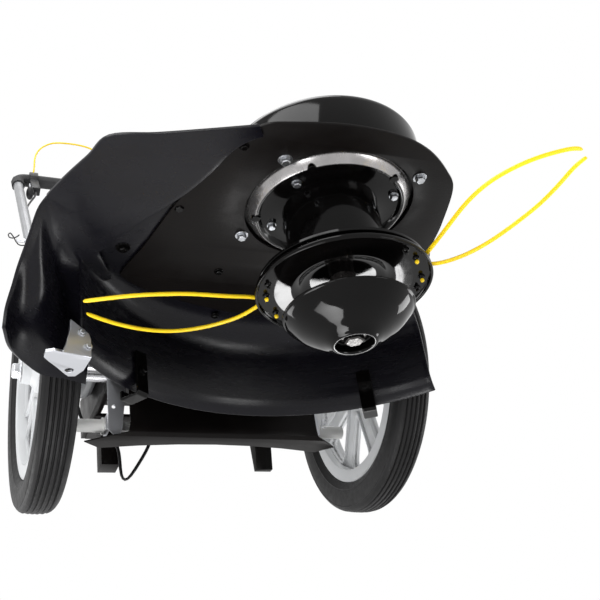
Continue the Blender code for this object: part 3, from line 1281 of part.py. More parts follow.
def make_throttle_cable_lower():
    """From the fold down behind the lower tube, then in a loop under the frame and up through it to the engine."""
    behind = -CABLE_OFFSET
    fold_x = -(UPPER_HANDLE_X - TUBE_HANDLE_RADIUS - CABLE_RADIUS - SLIDING_FIT)
    down = [(fold_x, -FOLD_DISTANCE - FIT / 2, behind), (-LOWER_HANDLE_X, -FOLD_DISTANCE - 0.080, behind)]
    down += [(-LOWER_HANDLE_X, -FOLD_DISTANCE - 0.300, behind), (-LOWER_HANDLE_X, -0.930, behind)]
    loop = [(-0.1535, 0.561, 0.205), (-0.1500, 0.552, 0.176), (-0.1420, 0.538, 0.152), (-0.1250, 0.516, 0.137)]
    loop += [(-0.1125, 0.503, 0.118), (-0.1100, 0.499, 0.090), (-0.1098, 0.498, 0.069), (-0.1050, 0.498, 0.0620)]
    loop += [(-0.0970, 0.498, 0.068), (-0.0830, 0.498, 0.090), (-0.0680, 0.496, 0.117), (-0.0600, 0.487, 0.150)]
    loop += [(-0.0565, 0.471, 0.185)]
    loop += [(-0.0560, 0.466, ENGINE_PLATE_HEIGHT - 0.012), (-0.0560, 0.466, ENGINE_PLATE_HEIGHT - SLIDING_FIT)]
    points = [on_handle(*place) for place in down] + [Vector(place) for place in loop]
    return tube("throttle_cable_lower", smooth_route(points, 0.0175), CABLE_RADIUS, 8)


def make_spare_line():
    """A spare length of cutting line, held in a bow between the two clamps on the crossbar."""
    y, bar = HANDLE_TOP
    foot = bar + CLAMP_BORE + CLAMP_WALL + FIT * 2
    bow = [(THROTTLE_X, foot), (-0.1415, 1.070), (-0.1400, 1.104), (-0.1300, 1.130), (-0.1100, 1.149)]
    bow += [(-0.0870, 1.158), (-0.0390, 1.160), (-0.0050, 1.152), (0.0180, 1.132), (0.0280, 1.100), (CLUTCH_X, 1.065)]
    bow += [(CLUTCH_X, foot)]
    route = smooth_route([(x, y, z) for x, z in bow], 0.0130)
    return tube("spare_line", route, LINE_RADIUS, 8)


def make_frames():
    """One empty for the machine and one on the axis of each joint."""
    machine = axis_frame("machine", (0, 0, 0))
    frames = {"chassis": machine}
    frames["crankshaft"] = axis_frame("crank_axis", (0, CRANK_Y, BELT_HEIGHT), machine)
    frames["cutting_head"] = axis_frame("head_axis", (0, 0, BELT_HEIGHT), machine)
    frames["ground_bowl"] = axis_frame("bowl_axis", (0, 0, BOWL_RIM_HEIGHT), frames["cutting_head"])
    frames["wheel_right"] = axis_frame("wheel_axis_right", (-WHEEL_X, AXLE_Y, AXLE_HEIGHT), machine)
    frames["wheel_left"] = axis_frame("wheel_axis_left", (WHEEL_X, AXLE_Y, AXLE_HEIGHT), machine)
    frames["idler_arm"] = axis_frame("idler_arm_axis", (*IDLER_PIVOT, BELT_HEIGHT), machine)
    frames["idler_pulley"] = axis_frame("idler_axis", (*IDLER_PLACE, BELT_HEIGHT), frames["idler_arm"])
    frames["upper_handle"] = axis_frame("fold_axis", on_handle(0, -FOLD_DISTANCE), machine)
    fold = frames["upper_handle"]
    frames["clutch_lever"] = axis_frame("clutch_axis", on_handle(CLUTCH_X, -CLUTCH_PIVOT), fold)
    frames["throttle_lever"] = axis_frame("throttle_axis", on_handle(THROTTLE_X, -THROTTLE_PIVOT), fold)
    frames["fuel_cap"] = axis_frame("fuel_cap_axis", (*CAP_PLACE, TANK_TOP), machine)
    frames["oil_cap"] = axis_frame("oil_cap_axis", (*OIL_NECK_PLACE, OIL_NECK_TOP), machine)
    frames["primer_bulb"] = axis_frame("bulb_axis", (-CLEANER_OUTER, *BULB_PLACE), machine)
    return frames


def fixed_pieces():
    """Each piece that stays with the frame, and its finish."""
    return [
        (make_spindle_disc(), "polished_black"),
        (make_spindle_tube(), "satin_black_plate"),
        (make_upper_bearing(), "machined_steel"),
        (make_lower_bearing(), "machined_steel"),
        (make_deck_plate(), "satin_black_plate"),
        (make_debris_shield(), "shield_plastic"),
        (make_side_deflector(), "shield_plastic"),
        (make_deflector_bracket(), "zinc"),
        (make_shield_clip("right"), "satin_black_plate"),
        (make_shield_clip("left"), "satin_black_plate"),
        (make_belt_cover(), "polished_black"),
        (make_drive_belt(), "belt_rubber"),
        (make_chassis_frame(), "satin_black_plate"),
        (make_axle_guard(), "satin_black_plate"),
        (make_guard_rod(), "white_plastic"),
        (make_guard_spring(), "zinc"),
        (make_axle(), "machined_steel"),
        (make_axle_bracket("right", -1), "zinc"),
        (make_axle_bracket("left", 1), "zinc"),
        (make_axle_nut("right", -1), "zinc"),
        (make_axle_nut("left", 1), "zinc"),
        (make_engine_block(), "engine_casting"),
        (make_blower_housing(), "black_plastic"),
        (make_fuel_tank(), "black_plastic"),
        (make_muffler(), "heat_black"),
        (make_carburettor(), "engine_casting"),
        (make_air_cleaner(), "black_plastic"),
        (make_spark_plug(), "ceramic"),
        (make_starter_grip(), "black_plastic"),
        (make_lower_handle(), "silver_tube"),
        (make_throttle_cable_lower(), "black_plastic"),
    ]


def moving_pieces():
    """Each piece that moves, by the body it moves with, and its finish."""
    return {
        "crankshaft": [(make_crankshaft(), "machined_steel"), (make_crank_pulley(), "machined_steel")],
        "cutting_head": [
            (make_spindle_shaft(), "machined_steel"),
            (make_spindle_pulley(), "machined_steel"),
            (make_head_flange(), "polished_black"),
            (make_line_post_plate(), "polished_black"),
            (make_cutting_line_right(), "yellow_nylon"),
            (make_cutting_line_left(), "yellow_nylon"),
        ],
        "ground_bowl": [(make_ground_bowl(), "polished_black"), (make_bowl_bolt(), "machined_steel")],
        "wheel_right": [(make_wheel_rim("right", -1), "rim_plastic"), (make_tyre("right", -1), "tyre_rubber")],
        "wheel_left": [(make_wheel_rim("left", 1), "rim_plastic"), (make_tyre("left", 1), "tyre_rubber")],
        "idler_arm": [(make_idler_arm(), "zinc")],
        "idler_pulley": [(make_idler_pulley(), "black_plastic")],
        "upper_handle": [
            (make_upper_handle(), "silver_tube"),
            (make_handle_grip(), "foam_grip"),
            (make_handle_pin("right", -1), "zinc"),
            (make_handle_pin("left", 1), "zinc"),
            (make_lever_bracket(), "black_plastic"),
            (make_throttle_control(), "black_plastic"),
            (make_throttle_cable_upper(), "black_plastic"),
            (make_spare_line(), "yellow_nylon"),
        ],
        "clutch_lever": [(make_clutch_lever(), "black_plastic")],
        "throttle_lever": [(make_throttle_lever(), "zinc")],
        "fuel_cap": [(make_fuel_cap(), "black_plastic")],
        "oil_cap": [(make_oil_cap(), "black_plastic")],
        "primer_bulb": [(make_primer_bulb(), "red_rubber")],
    }


def corners_of(shapes):
    """The lowest and highest corner of the shapes as they stand."""
    graph = bpy.context.evaluated_depsgraph_get()
    points = []
    for shape in shapes:
        evaluated = shape.evaluated_get(graph)
        mesh = evaluated.to_mesh()
        points += [shape.matrix_world @ vertex.co for vertex in mesh.vertices]
        evaluated.to_mesh_clear()
    low = Vector([min(point[axis] for point in points) for axis in range(3)])
    high = Vector([max(point[axis] for point in points) for axis in range(3)])
    return low, high


def build():
    clear_scene()
    frames = make_frames()
    pieces = {"chassis": fixed_pieces(), **moving_pieces()}
    for body, members in pieces.items():
        for shape, finish in members:
            bpy.context.view_layer.update()
            shape.data.materials.clear()
            shape.data.materials.append(make_finish(finish))
            ride(frames[body], shape)
    shapes = [shape for members in pieces.values() for shape, _ in members]
    bpy.context.view_layer.update()
    low, high = corners_of(shapes)
    middle = (low + high) / 2
    frames["chassis"].location = (-middle.x, -middle.y, -low.z)
    bpy.context.view_layer.update()
    print("moved by", [round(value, 6) for value in frames["chassis"].location])
    for body, frame in frames.items():
        print(body, [round(value, 5) for value in frame.matrix_world.translation])


build()
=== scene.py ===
"""Looks of the walk-behind string mower, built round its packed drawing.

Places are given in the machine's own frame, as in the drawing's source: the cutting head's axis stands at
X = Y = 0, the ground is Z = 0 and +Y points back to the operator. HEAD moves them to where the packed
machine stands.
"""

from math import acos, asin, atan2, cos, hypot, pi, radians, sin

import bmesh
import bpy
from mathutils import Matrix, Vector


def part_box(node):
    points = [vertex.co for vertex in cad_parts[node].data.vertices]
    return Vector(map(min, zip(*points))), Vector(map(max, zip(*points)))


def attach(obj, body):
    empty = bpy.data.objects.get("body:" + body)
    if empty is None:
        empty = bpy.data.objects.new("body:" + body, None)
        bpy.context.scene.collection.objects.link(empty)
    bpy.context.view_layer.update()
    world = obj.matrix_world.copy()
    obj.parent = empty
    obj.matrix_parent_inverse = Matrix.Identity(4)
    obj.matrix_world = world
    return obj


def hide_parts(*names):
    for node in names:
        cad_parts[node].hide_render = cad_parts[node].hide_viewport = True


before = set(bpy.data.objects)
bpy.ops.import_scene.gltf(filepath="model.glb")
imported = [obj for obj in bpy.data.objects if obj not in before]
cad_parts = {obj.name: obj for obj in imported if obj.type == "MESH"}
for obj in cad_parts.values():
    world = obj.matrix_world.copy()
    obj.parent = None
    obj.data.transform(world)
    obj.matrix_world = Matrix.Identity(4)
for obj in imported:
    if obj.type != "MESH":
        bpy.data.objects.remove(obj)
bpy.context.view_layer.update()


# The view: from low in front of the machine's right side, up under the deck.
# Its place and turn come from the two wheels and from the axis that bowl, flange and disc share.

CAMERA_PLACE = Vector((-0.3889, -0.7007, -0.4159))
CAMERA_AZIMUTH = radians(-25.8625)
CAMERA_ELEVATION = radians(-30.5961)
CAMERA_ROLL = radians(-9.0554)
CAMERA_LENS = 57.83
CAMERA_SENSOR = 36

shaft_low, shaft_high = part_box("spindle_shaft")
HEAD = Vector(((shaft_low.x + shaft_high.x) / 2, (shaft_low.y + shaft_high.y) / 2, 0))

backward = Vector((
    sin(CAMERA_AZIMUTH) * cos(CAMERA_ELEVATION),
    -cos(CAMERA_AZIMUTH) * cos(CAMERA_ELEVATION),
    sin(CAMERA_ELEVATION),
))
level = Vector((cos(CAMERA_AZIMUTH), sin(CAMERA_AZIMUTH), 0))
climb = backward.cross(level)
rightward = cos(CAMERA_ROLL) * level + sin(CAMERA_ROLL) * climb
upward = cos(CAMERA_ROLL) * climb - sin(CAMERA_ROLL) * level
sight = Matrix((rightward, upward, backward)).transposed().to_4x4()

camera = bpy.data.objects.new("camera", bpy.data.cameras.new("camera"))
bpy.context.scene.collection.objects.link(camera)
camera.data.lens = CAMERA_LENS
camera.data.sensor_width = CAMERA_SENSOR
camera.matrix_world = Matrix.Translation(HEAD + CAMERA_PLACE) @ sight
bpy.context.scene.camera = camera
bpy.context.scene.view_settings.view_transform = "Standard"


# The studio: a pale floor that keeps the machine's shadow, a white surround and soft lamps round about.
# The camera looks up from under the floor. So the floor is clear from below, and the low lamps' light and
# all reflections pass it.

SOFT_LIGHT = 0.28
FLOOR_REACH = 6
FLOOR_DROP = 0.0005
AT_HEAD = (0, 0, 0.1)


def link_nodes(owner, *pairs):
    """Links pairs of sockets in the nodes of a material or of the world."""
    for start, end in pairs:
        owner.node_tree.links.new(start, end)


def either(owner, first, second):
    """The larger of two sockets' values, which is 1 where one of two kinds of ray is meant."""
    larger = owner.node_tree.nodes.new("ShaderNodeMath")
    larger.operation = "MAXIMUM"
    link_nodes(owner, (first, larger.inputs[0]), (second, larger.inputs[1]))
    return larger.outputs[0]


def lamp(name, place, aim, width, height, power, spread=180):
    """A soft rectangular lamp, placed and aimed in the machine's frame."""
    light = bpy.data.lights.new(name, "AREA")
    light.shape = "RECTANGLE"
    light.size = width
    light.size_y = height
    light.energy = power
    light.spread = radians(spread)
    panel = bpy.data.objects.new(name, light)
    bpy.context.scene.collection.objects.link(panel)
    panel.location = HEAD + Vector(place)
    panel.rotation_euler = (Vector(aim) - Vector(place)).to_track_quat("-Z", "Y").to_euler()


world = bpy.data.worlds.new("surround")
bpy.context.scene.world = world
world.use_nodes = True
surround = world.node_tree.nodes
surround.clear()
ray = surround.new("ShaderNodeLightPath")
direct = either(world, ray.outputs["Is Camera Ray"], ray.outputs["Is Glossy Ray"])
seen = either(world, direct, ray.outputs["Is Transmission Ray"])
soft = surround.new("ShaderNodeBackground")
soft.inputs["Color"].default_value = (1, 1, 1, 1)
soft.inputs["Strength"].default_value = SOFT_LIGHT
white = surround.new("ShaderNodeBackground")
white.inputs["Color"].default_value = (1, 1, 1, 1)
white.inputs["Strength"].default_value = 1.0
choose = surround.new("ShaderNodeMixShader")
surface_out = surround.new("ShaderNodeOutputWorld")
link_nodes(
    world,
    (seen, choose.inputs[0]),
    (soft.outputs[0], choose.inputs[1]),
    (white.outputs[0], choose.inputs[2]),
    (choose.outputs[0], surface_out.inputs["Surface"]),
)

floor_shape = bmesh.new()
bmesh.ops.create_grid(floor_shape, x_segments=1, y_segments=1, size=FLOOR_REACH)
floor_mesh = bpy.data.meshes.new("studio_floor")
floor_shape.to_mesh(floor_mesh)
floor_shape.free()
floor = bpy.data.objects.new("studio_floor", floor_mesh)
bpy.context.scene.collection.objects.link(floor)
floor.location.z = -FLOOR_DROP
pale = bpy.data.materials.new("studio_floor")
pale.use_nodes = True
pale_nodes = pale.node_tree.nodes
paint = pale_nodes["Principled BSDF"]
paint.inputs["Base Color"].default_value = (0.86, 0.86, 0.86, 1)
paint.inputs["Roughness"].default_value = 0.8
clear = pale_nodes.new("ShaderNodeBsdfTransparent")
floor_ray = pale_nodes.new("ShaderNodeLightPath")
side = pale_nodes.new("ShaderNodeNewGeometry")
sight_or_shadow = either(pale, side.outputs["Backfacing"], floor_ray.outputs["Is Shadow Ray"])
passing = either(pale, sight_or_shadow, floor_ray.outputs["Is Glossy Ray"])
floor_choice = pale_nodes.new("ShaderNodeMixShader")
link_nodes(
    pale,
    (passing, floor_choice.inputs[0]),
    (paint.outputs[0], floor_choice.inputs[1]),
    (clear.outputs[0], floor_choice.inputs[2]),
    (floor_choice.outputs[0], pale_nodes["Material Output"].inputs["Surface"]),
)
floor_mesh.materials.append(pale)

lamp("lamp_left_low", (1.38, 0.27, -0.31), AT_HEAD, 0.32, 0.50, 4)
lamp("lamp_behind_low", (0.60, 1.12, -0.71), AT_HEAD, 0.14, 0.12, 1.1)
lamp("lamp_under", (-0.58, 0.19, -1.155), (-0.2, 0.19, 0), 0.50, 0.80, 3.0, 70)
lamp("lamp_front_left", (0.80, -1.23, -0.21), AT_HEAD, 0.50, 0.40, 5)
lamp("lamp_front_right", (-1.03, -0.93, -0.46), AT_HEAD, 0.30, 0.40, 3)
lamp("lamp_behind_right", (-0.98, 1.10, -0.21), (0, 0, 0.15), 0.50, 0.40, 5)
lamp("lamp_right_high", (-1.00, -0.85, 1.20), (0, 0, 0.2), 1.40, 0.50, 17)
lamp("lamp_overhead", (-0.40, 0.20, 2.30), (0, 0.3, 0.3), 1.60, 1.60, 38)
lamp("lamp_behind", (0.90, 2.20, 1.60), (0, 0.4, 0.4), 1.20, 1.20, 20)


# Wheels: light grey moulded rims with eight spokes that are hollow on both faces, and ribbed tyres of black
# rubber. The rim's beads hold the tyre. Each wheel turns on the axle, and a flanged nut keeps it there.

WHEEL_X = 0.2235
AXLE_Y = 0.4206
AXLE_HEIGHT = 0.1778
RIM_INNER = 0.1180
RIM_LIP = 0.0020
WEB_OVERLAP = 0.0010
WEB = 0.0045
HUB_CLEAR = 0.0400
SPOKES = 8
FIRST_SPOKE = radians(-57.5)
SPOKE_HALF = 0.0135
SPOKE_WALL = 0.0026
SPOKE_DEPTH = 0.0120
SPOKE_STRAIGHT = 0.88
WINDOW_FLARE = radians(3)
WINDOW_CORNER = 0.0070

NOISE_LOW = 0.3
NOISE_HIGH = 0.7
GRAIN_DEPTH = 0.0004
MERGE = 0.00001


def finish(
    name, colour, roughness, metallic=0.0, mottle=0.12, mottle_size=14, grain=0.15, grain_size=600,
    streak=(1, 1, 1), polish=0.06, specular=0.5,
):
    """A surface whose colour and shine vary a little from place to place, with a fine grain over it."""
    material = bpy.data.materials.new(name)
    material.use_nodes = True
    nodes = material.node_tree.nodes
    shader = nodes["Principled BSDF"]
    shader.inputs["Metallic"].default_value = metallic
    shader.inputs["Specular IOR Level"].default_value = specular
    places = nodes.new("ShaderNodeTexCoord")
    stretch = nodes.new("ShaderNodeMapping")
    stretch.inputs["Scale"].default_value = streak

    def noise(scale, detail):
        """A noise that fills the piece, stretched along its streaks."""
        texture = nodes.new("ShaderNodeTexNoise")
        texture.inputs["Scale"].default_value = scale
        texture.inputs["Detail"].default_value = detail
        link_nodes(material, (stretch.outputs["Vector"], texture.inputs["Vector"]))
        return texture.outputs["Fac"]

    def vary(middle, reach, source):
        """A value that follows a noise, up to the reach to both sides of the middle."""
        spread = nodes.new("ShaderNodeMapRange")
        spread.inputs["From Min"].default_value = NOISE_LOW
        spread.inputs["From Max"].default_value = NOISE_HIGH
        spread.inputs["To Min"].default_value = middle - reach
        spread.inputs["To Max"].default_value = middle + reach
        link_nodes(material, (source, spread.inputs["Value"]))
        return spread.outputs["Result"]

    tint = nodes.new("ShaderNodeVectorMath")
    tint.operation = "SCALE"
    tint.inputs[0].default_value = colour
    bump = nodes.new("ShaderNodeBump")
    bump.inputs["Strength"].default_value = grain
    bump.inputs["Distance"].default_value = GRAIN_DEPTH
    link_nodes(
        material,
        (places.outputs["Object"], stretch.inputs["Vector"]),
        (vary(1, mottle, noise(mottle_size, 5)), tint.inputs["Scale"]),
        (tint.outputs["Vector"], shader.inputs["Base Color"]),
        (vary(roughness, polish, noise(mottle_size * 5, 3)), shader.inputs["Roughness"]),
        (noise(grain_size, 2), bump.inputs["Height"]),
        (bump.outputs["Normal"], shader.inputs["Normal"]),
    )
    return material


def turn_profile(work, profile, steps, matrix=Matrix()):
    """Turns a closed loop of (radius, height) points about local Z to a ring, set in place by the matrix."""
    before = set(work.verts)
    corners = [work.verts.new((radius, 0, height)) for radius, height in profile]
    edges = [work.edges.new(pair) for pair in zip(corners, corners[1:] + corners[:1])]
    bmesh.ops.spin(
        work, geom=corners + edges, cent=(0, 0, 0), axis=(0, 0, 1), dvec=(0, 0, 0), angle=2 * pi, steps=steps,
        use_merge=True, use_duplicate=False,
    )
    turned = [vert for vert in work.verts if vert not in before]
    bmesh.ops.remove_doubles(work, verts=turned, dist=MERGE)
    turned = [vert for vert in work.verts if vert not in before]
    bmesh.ops.recalc_face_normals(work, faces=[face for face in work.faces if face.verts[0] not in before])
    bmesh.ops.transform(work, matrix=matrix, verts=turned)


def settle(name, work, body, slot, material, *nodes, sharp=35, rounding=0.0, segments=2):
    """Makes a piece of a bmesh, which rides on a body and stands for nodes of the drawing."""
    bmesh.ops.translate(work, verts=work.verts, vec=HEAD)
    mesh = bpy.data.meshes.new(name)
    work.to_mesh(mesh)
    work.free()
    mesh.shade_smooth()
    mesh.set_sharp_from_angle(angle=radians(sharp))
    mesh.materials.append(material)
    piece = bpy.data.objects.new(name, mesh)
    bpy.context.scene.collection.objects.link(piece)
    if rounding:
        bevel = piece.modifiers.new("rounding", "BEVEL")
        bevel.width = rounding
        bevel.segments = segments
        bevel.limit_method = "ANGLE"
        bevel.angle_limit = radians(sharp)
        bevel.harden_normals = True
    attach(piece, body)
    if nodes:
        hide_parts(*nodes)
    return piece


def flat_shape(work, outline, holes, thickness, matrix, rounding):
    """Adds a flat outline in local XY with its holes, as thick as given and rounded at its edges."""
    curve = bpy.data.curves.new("flat_shape", "CURVE")
    curve.dimensions = "2D"
    curve.fill_mode = "BOTH"
    curve.extrude = thickness / 2 - rounding
    curve.bevel_depth = rounding
    curve.bevel_resolution = 1
    curve.offset = -rounding
    for loop in (outline, *holes):
        spline = curve.splines.new("POLY")
        spline.points.add(len(loop) - 1)
        for point, (x, y) in zip(spline.points, loop):
            point.co = (x, y, 0, 1)
        spline.use_cyclic_u = True
    holder = bpy.data.objects.new("flat_shape", curve)
    bpy.context.scene.collection.objects.link(holder)
    bpy.context.view_layer.update()
    mesh = bpy.data.meshes.new_from_object(holder.evaluated_get(bpy.context.evaluated_depsgraph_get()))
    mesh.transform(matrix)
    before = set(work.verts)
    work.from_mesh(mesh)
    bmesh.ops.remove_doubles(work, verts=[vert for vert in work.verts if vert not in before], dist=MERGE)
    bpy.data.objects.remove(holder)


def round_corners(corners, radius):
    """The outline through the corners, each rounded to about the radius, or less where a side is short."""
    steps = 6
    most = 0.45
    outline = []
    for index, corner in enumerate(corners):
        here = Vector(corner)
        before = Vector(corners[index - 1]) - here
        after = Vector(corners[(index + 1) % len(corners)]) - here
        start = here + before.normalized() * min(radius, before.length * most)
        end = here + after.normalized() * min(radius, after.length * most)
        for step in range(steps + 1):
            share = step / steps
            outline.append(tuple(start.lerp(here, share).lerp(here.lerp(end, share), share)))
    return outline


def spoke_window(angle, inset):
    """The opening between two spokes, smaller all round by the inset."""
    pitch = 2 * pi / SPOKES
    half = SPOKE_HALF + inset
    outer = RIM_INNER - RIM_LIP - inset
    inner = HUB_CLEAR + inset * 2
    bend = outer * SPOKE_STRAIGHT
    swing = asin(half / outer) + WINDOW_FLARE

    def beside(spoke, reach, hand):
        """A point at one side of a spoke, at a distance from the hub."""
        return Vector((cos(spoke), sin(spoke))) * reach + Vector((-sin(spoke), cos(spoke))) * hand * half

    arc = [angle + swing + (pitch - 2 * swing) * step / 4 for step in range(5)]
    corners = [beside(angle, inner, 1), beside(angle, bend, 1)]
    corners += [Vector((outer * cos(a), outer * sin(a))) for a in arc]
    corners += [beside(angle + pitch, bend, -1), beside(angle + pitch, inner, -1)]
    return round_corners([tuple(corner) for corner in corners], WINDOW_CORNER)


def disc_outline(radius, steps=96):
    """Points round a circle."""
    turns = [2 * pi * step / steps for step in range(steps)]
    return [(radius * cos(turn), radius * sin(turn)) for turn in turns]


tyre_rubber = finish(
    "tyre_rubber", (0.006, 0.0058, 0.0062), 0.52, mottle=0.25, mottle_size=30, grain=0.35, grain_size=900,
    specular=0.2,
)
rim_plastic = finish("rim_plastic", (0.55, 0.56, 0.57), 0.42, mottle=0.04, grain=0.12, grain_size=1400)

TYRE_RADIUS = 0.1778
TYRE_HALF = 0.02275
CROWN_DROP = 0.0030
RIB_PITCH = 0.0062
RIB_ROUND = 0.0008
RIB_ROUND_DROP = 0.0003
GROOVE_HALF = 0.0010
GROOVE_DEPTH = 0.0024

tread = []
for groove in (-2, -1, 0, 1, 2):
    across = groove * RIB_PITCH
    crown = TYRE_RADIUS - CROWN_DROP * (across / TYRE_HALF) ** 2
    tread += [
        (crown - RIB_ROUND_DROP, across - GROOVE_HALF - RIB_ROUND),
        (crown - GROOVE_DEPTH * 0.5, across - GROOVE_HALF),
        (crown - GROOVE_DEPTH, across - GROOVE_HALF * 0.4),
        (crown - GROOVE_DEPTH, across + GROOVE_HALF * 0.4),
        (crown - GROOVE_DEPTH * 0.5, across + GROOVE_HALF),
        (crown - RIB_ROUND_DROP, across + GROOVE_HALF + RIB_ROUND),
    ]
    if groove < 2:
        tread.append((crown, across + RIB_PITCH / 2))
shoulder = [(0.1371, 0.0168), (0.1400, 0.0188), (0.1450, 0.0207), (0.1455, 0.0214), (0.1465, 0.0214)]
shoulder += [(0.1470, 0.0211), (0.1540, 0.0224), (0.1600, TYRE_HALF), (0.1660, 0.0224), (0.1690, 0.0216)]
shoulder += [(0.1694, 0.0219), (0.1702, 0.0218), (0.1704, 0.0212), (0.1730, 0.0198), (0.1750, 0.0176)]
shoulder += [(0.1760, 0.0158)]
bead = [(0.1304, 0.0100), (0.1357, 0.0126)]
near_side = [(radius, -across) for radius, across in bead + shoulder]
tyre_profile = near_side + tread + list(reversed(bead + shoulder))

band_half = [(0.1172, 0.0120), (0.1180, 0.0155), (0.1186, 0.0158), (0.1350, 0.0158), (0.1356, 0.0152)]
band_half += [(0.1356, 0.0135), (0.1300, 0.0110)]
band_profile = band_half + [(radius, -across) for radius, across in reversed(band_half)]
hub_half = [(0.0100, 0.0260), (0.0150, 0.0260), (0.0158, 0.0252), (0.0164, 0.0150), (0.0216, 0.0095)]
hub_half += [(0.0270, 0.0072)]
hub_profile = hub_half + [(radius, -across) for radius, across in reversed(hub_half)]

for wheel_side, sign in (("right", -1), ("left", 1)):
    wheel = f"wheel_{wheel_side}"
    place = Vector((sign * WHEEL_X, AXLE_Y, AXLE_HEIGHT))
    upright = Matrix.Translation(place) @ Matrix.Rotation(pi / 2, 4, "Y")
    tyre = bmesh.new()
    turn_profile(tyre, tyre_profile, 160, upright)
    settle(f"ribbed_tyre_{wheel_side}", tyre, wheel, "tyre_rubber", tyre_rubber, f"tyre_{wheel_side}")
    rim = bmesh.new()
    spoke_angles = [FIRST_SPOKE + pi / 2 + 2 * pi * spoke / SPOKES for spoke in range(SPOKES)]
    windows = [spoke_window(angle, 0) for angle in spoke_angles]
    flat_shape(rim, disc_outline(RIM_INNER + WEB_OVERLAP), windows, WEB, upright, 0.0006)
    for angle in spoke_angles:
        wall = spoke_window(angle, -SPOKE_WALL)
        flat_shape(rim, wall, [spoke_window(angle, 0)], SPOKE_DEPTH, upright, 0.0008)
    turn_profile(rim, band_profile, 128, upright)
    turn_profile(rim, hub_profile, 64, upright)
    settle(f"spoked_rim_{wheel_side}", rim, wheel, "rim_plastic", rim_plastic, f"wheel_rim_{wheel_side}")


# Axle nuts: zinc hexagon nuts with a flange, screwed on the ends of the axle to keep the wheels on.
# The bolts and screws further down have the same hexagon on a washer, each in its own size.

NUT_STANDOFF = 0.0266

wheel_nut = finish("wheel_nut", (0.68, 0.69, 0.71), 0.28, 1.0, mottle=0.08, grain=0.05)


def hex_bolt(work, place, outward, flats, height, washer):
    """A hexagon head on a washer, standing out from its place."""
    turn = Matrix.Translation(place) @ Vector(outward).to_track_quat("Z", "Y").to_matrix().to_4x4()
    thickness = 0.0012
    corner = flats / 2 / cos(pi / 6)
    for sides, low, high, foot, top in (
        (28, 0, thickness, washer, washer),
        (6, thickness, thickness + height * 0.8, corner, corner),
        (6, thickness + height * 0.8, thickness + height, corner, corner * 0.84),
    ):
        bmesh.ops.create_cone(
            work, cap_ends=True, segments=sides, radius1=foot, radius2=top, depth=high - low,
            matrix=turn @ Matrix.Translation((0, 0, (low + high) / 2)),
        )


for wheel_side, sign in (("right", -1), ("left", 1)):
    nut = bmesh.new()
    place = (sign * (WHEEL_X + NUT_STANDOFF), AXLE_Y, AXLE_HEIGHT)
    hex_bolt(nut, place, (sign, 0, 0), 0.0190, 0.0095, 0.0138)
    node = f"axle_nut_{wheel_side}"
    settle(f"flanged_nut_{wheel_side}", nut, "chassis", "zinc", wheel_nut, node, rounding=0.0004)


# The ground bowl: sheet spun to a dish and enamelled gloss black, that glides on the grass.
# A bolt holds it under the head's shaft, and the bolt's head lies up in the bowl's pocket.

BOWL_RIM = 0.0353
BOWL_BOLT_SEAT = 0.0096


def smooth_line(points, steps):
    """Points on a smooth curve through the given ones."""
    places = [Vector(point) for point in points]
    places = [2 * places[0] - places[1], *places, 2 * places[-1] - places[-2]]
    line = []
    for before, start, end, after in zip(places, places[1:], places[2:], places[3:]):
        for step in range(steps):
            t = step / steps
            bend = 2 * before - 5 * start + 4 * end - after
            twist = 3 * (start - end) + after - before
            line.append(start + ((end - before) * t + bend * t**2 + twist * t**3) / 2)
    line.append(places[-2])
    return line


gloss_enamel = finish(
    "gloss_enamel", (0.0020, 0.0018, 0.0018), 0.075, mottle=0.3, grain=0.015, grain_size=260, polish=0.03,
    specular=0.15,
)
polished_bolt = finish(
    "polished_bolt", (0.055, 0.052, 0.050), 0.22, 0.8, mottle=0.15, mottle_size=80, grain=0.06
)

bowl_side = [(0.0626, 0.0325), (0.0590, 0.0278), (0.0500, 0.0188), (0.0380, 0.0108), (0.0290, 0.0058)]
bowl_side += [(0.0240, 0.0025)]
bowl_profile = [(0.0640, BOWL_RIM), (0.0643, 0.0350), (0.0644, 0.0343), (0.0641, 0.0336), (0.0634, 0.0331)]
bowl_profile += [tuple(point) for point in smooth_line(bowl_side, 8)]
bowl_profile += [(0.0228, 0.0012), (0.0216, 0.0003), (0.0206, 0.0000), (0.0193, 0.0001), (0.0187, 0.0008)]
bowl_profile += [(0.0183, 0.0040), (0.0180, 0.0092), (0.0172, 0.0100), (0.0057, 0.0100), (0.0057, 0.0138)]
bowl_profile += [(0.0132, 0.0139), (0.0134, 0.0299), (0.0196, 0.0300), (0.0200, 0.0296), (0.0204, 0.0150)]
bowl_profile += [(0.0222, 0.0118), (0.0275, 0.0084), (0.0365, 0.0134), (0.0481, 0.0212), (0.0567, 0.0298)]
bowl_profile += [(0.0602, 0.0347), (0.0606, BOWL_RIM)]
bowl = bmesh.new()
turn_profile(bowl, bowl_profile, 160)
settle("spun_bowl", bowl, "ground_bowl", "polished_black", gloss_enamel, "ground_bowl", sharp=40)

bolt = bmesh.new()
hex_bolt(bolt, (0, 0, BOWL_BOLT_SEAT), (0, 0, -1), 0.0170, 0.0062, 0.0128)
settle("bowl_bolt_head", bolt, "ground_bowl", "machined_steel", polished_bolt, "bowl_bolt", rounding=0.0003)


# The cutting head: a steel flange, pressed to a dish and enamelled gloss black, with a rolled edge. Over it
# lies a ring with eight posts, riveted through the flange, that the lines hook round.

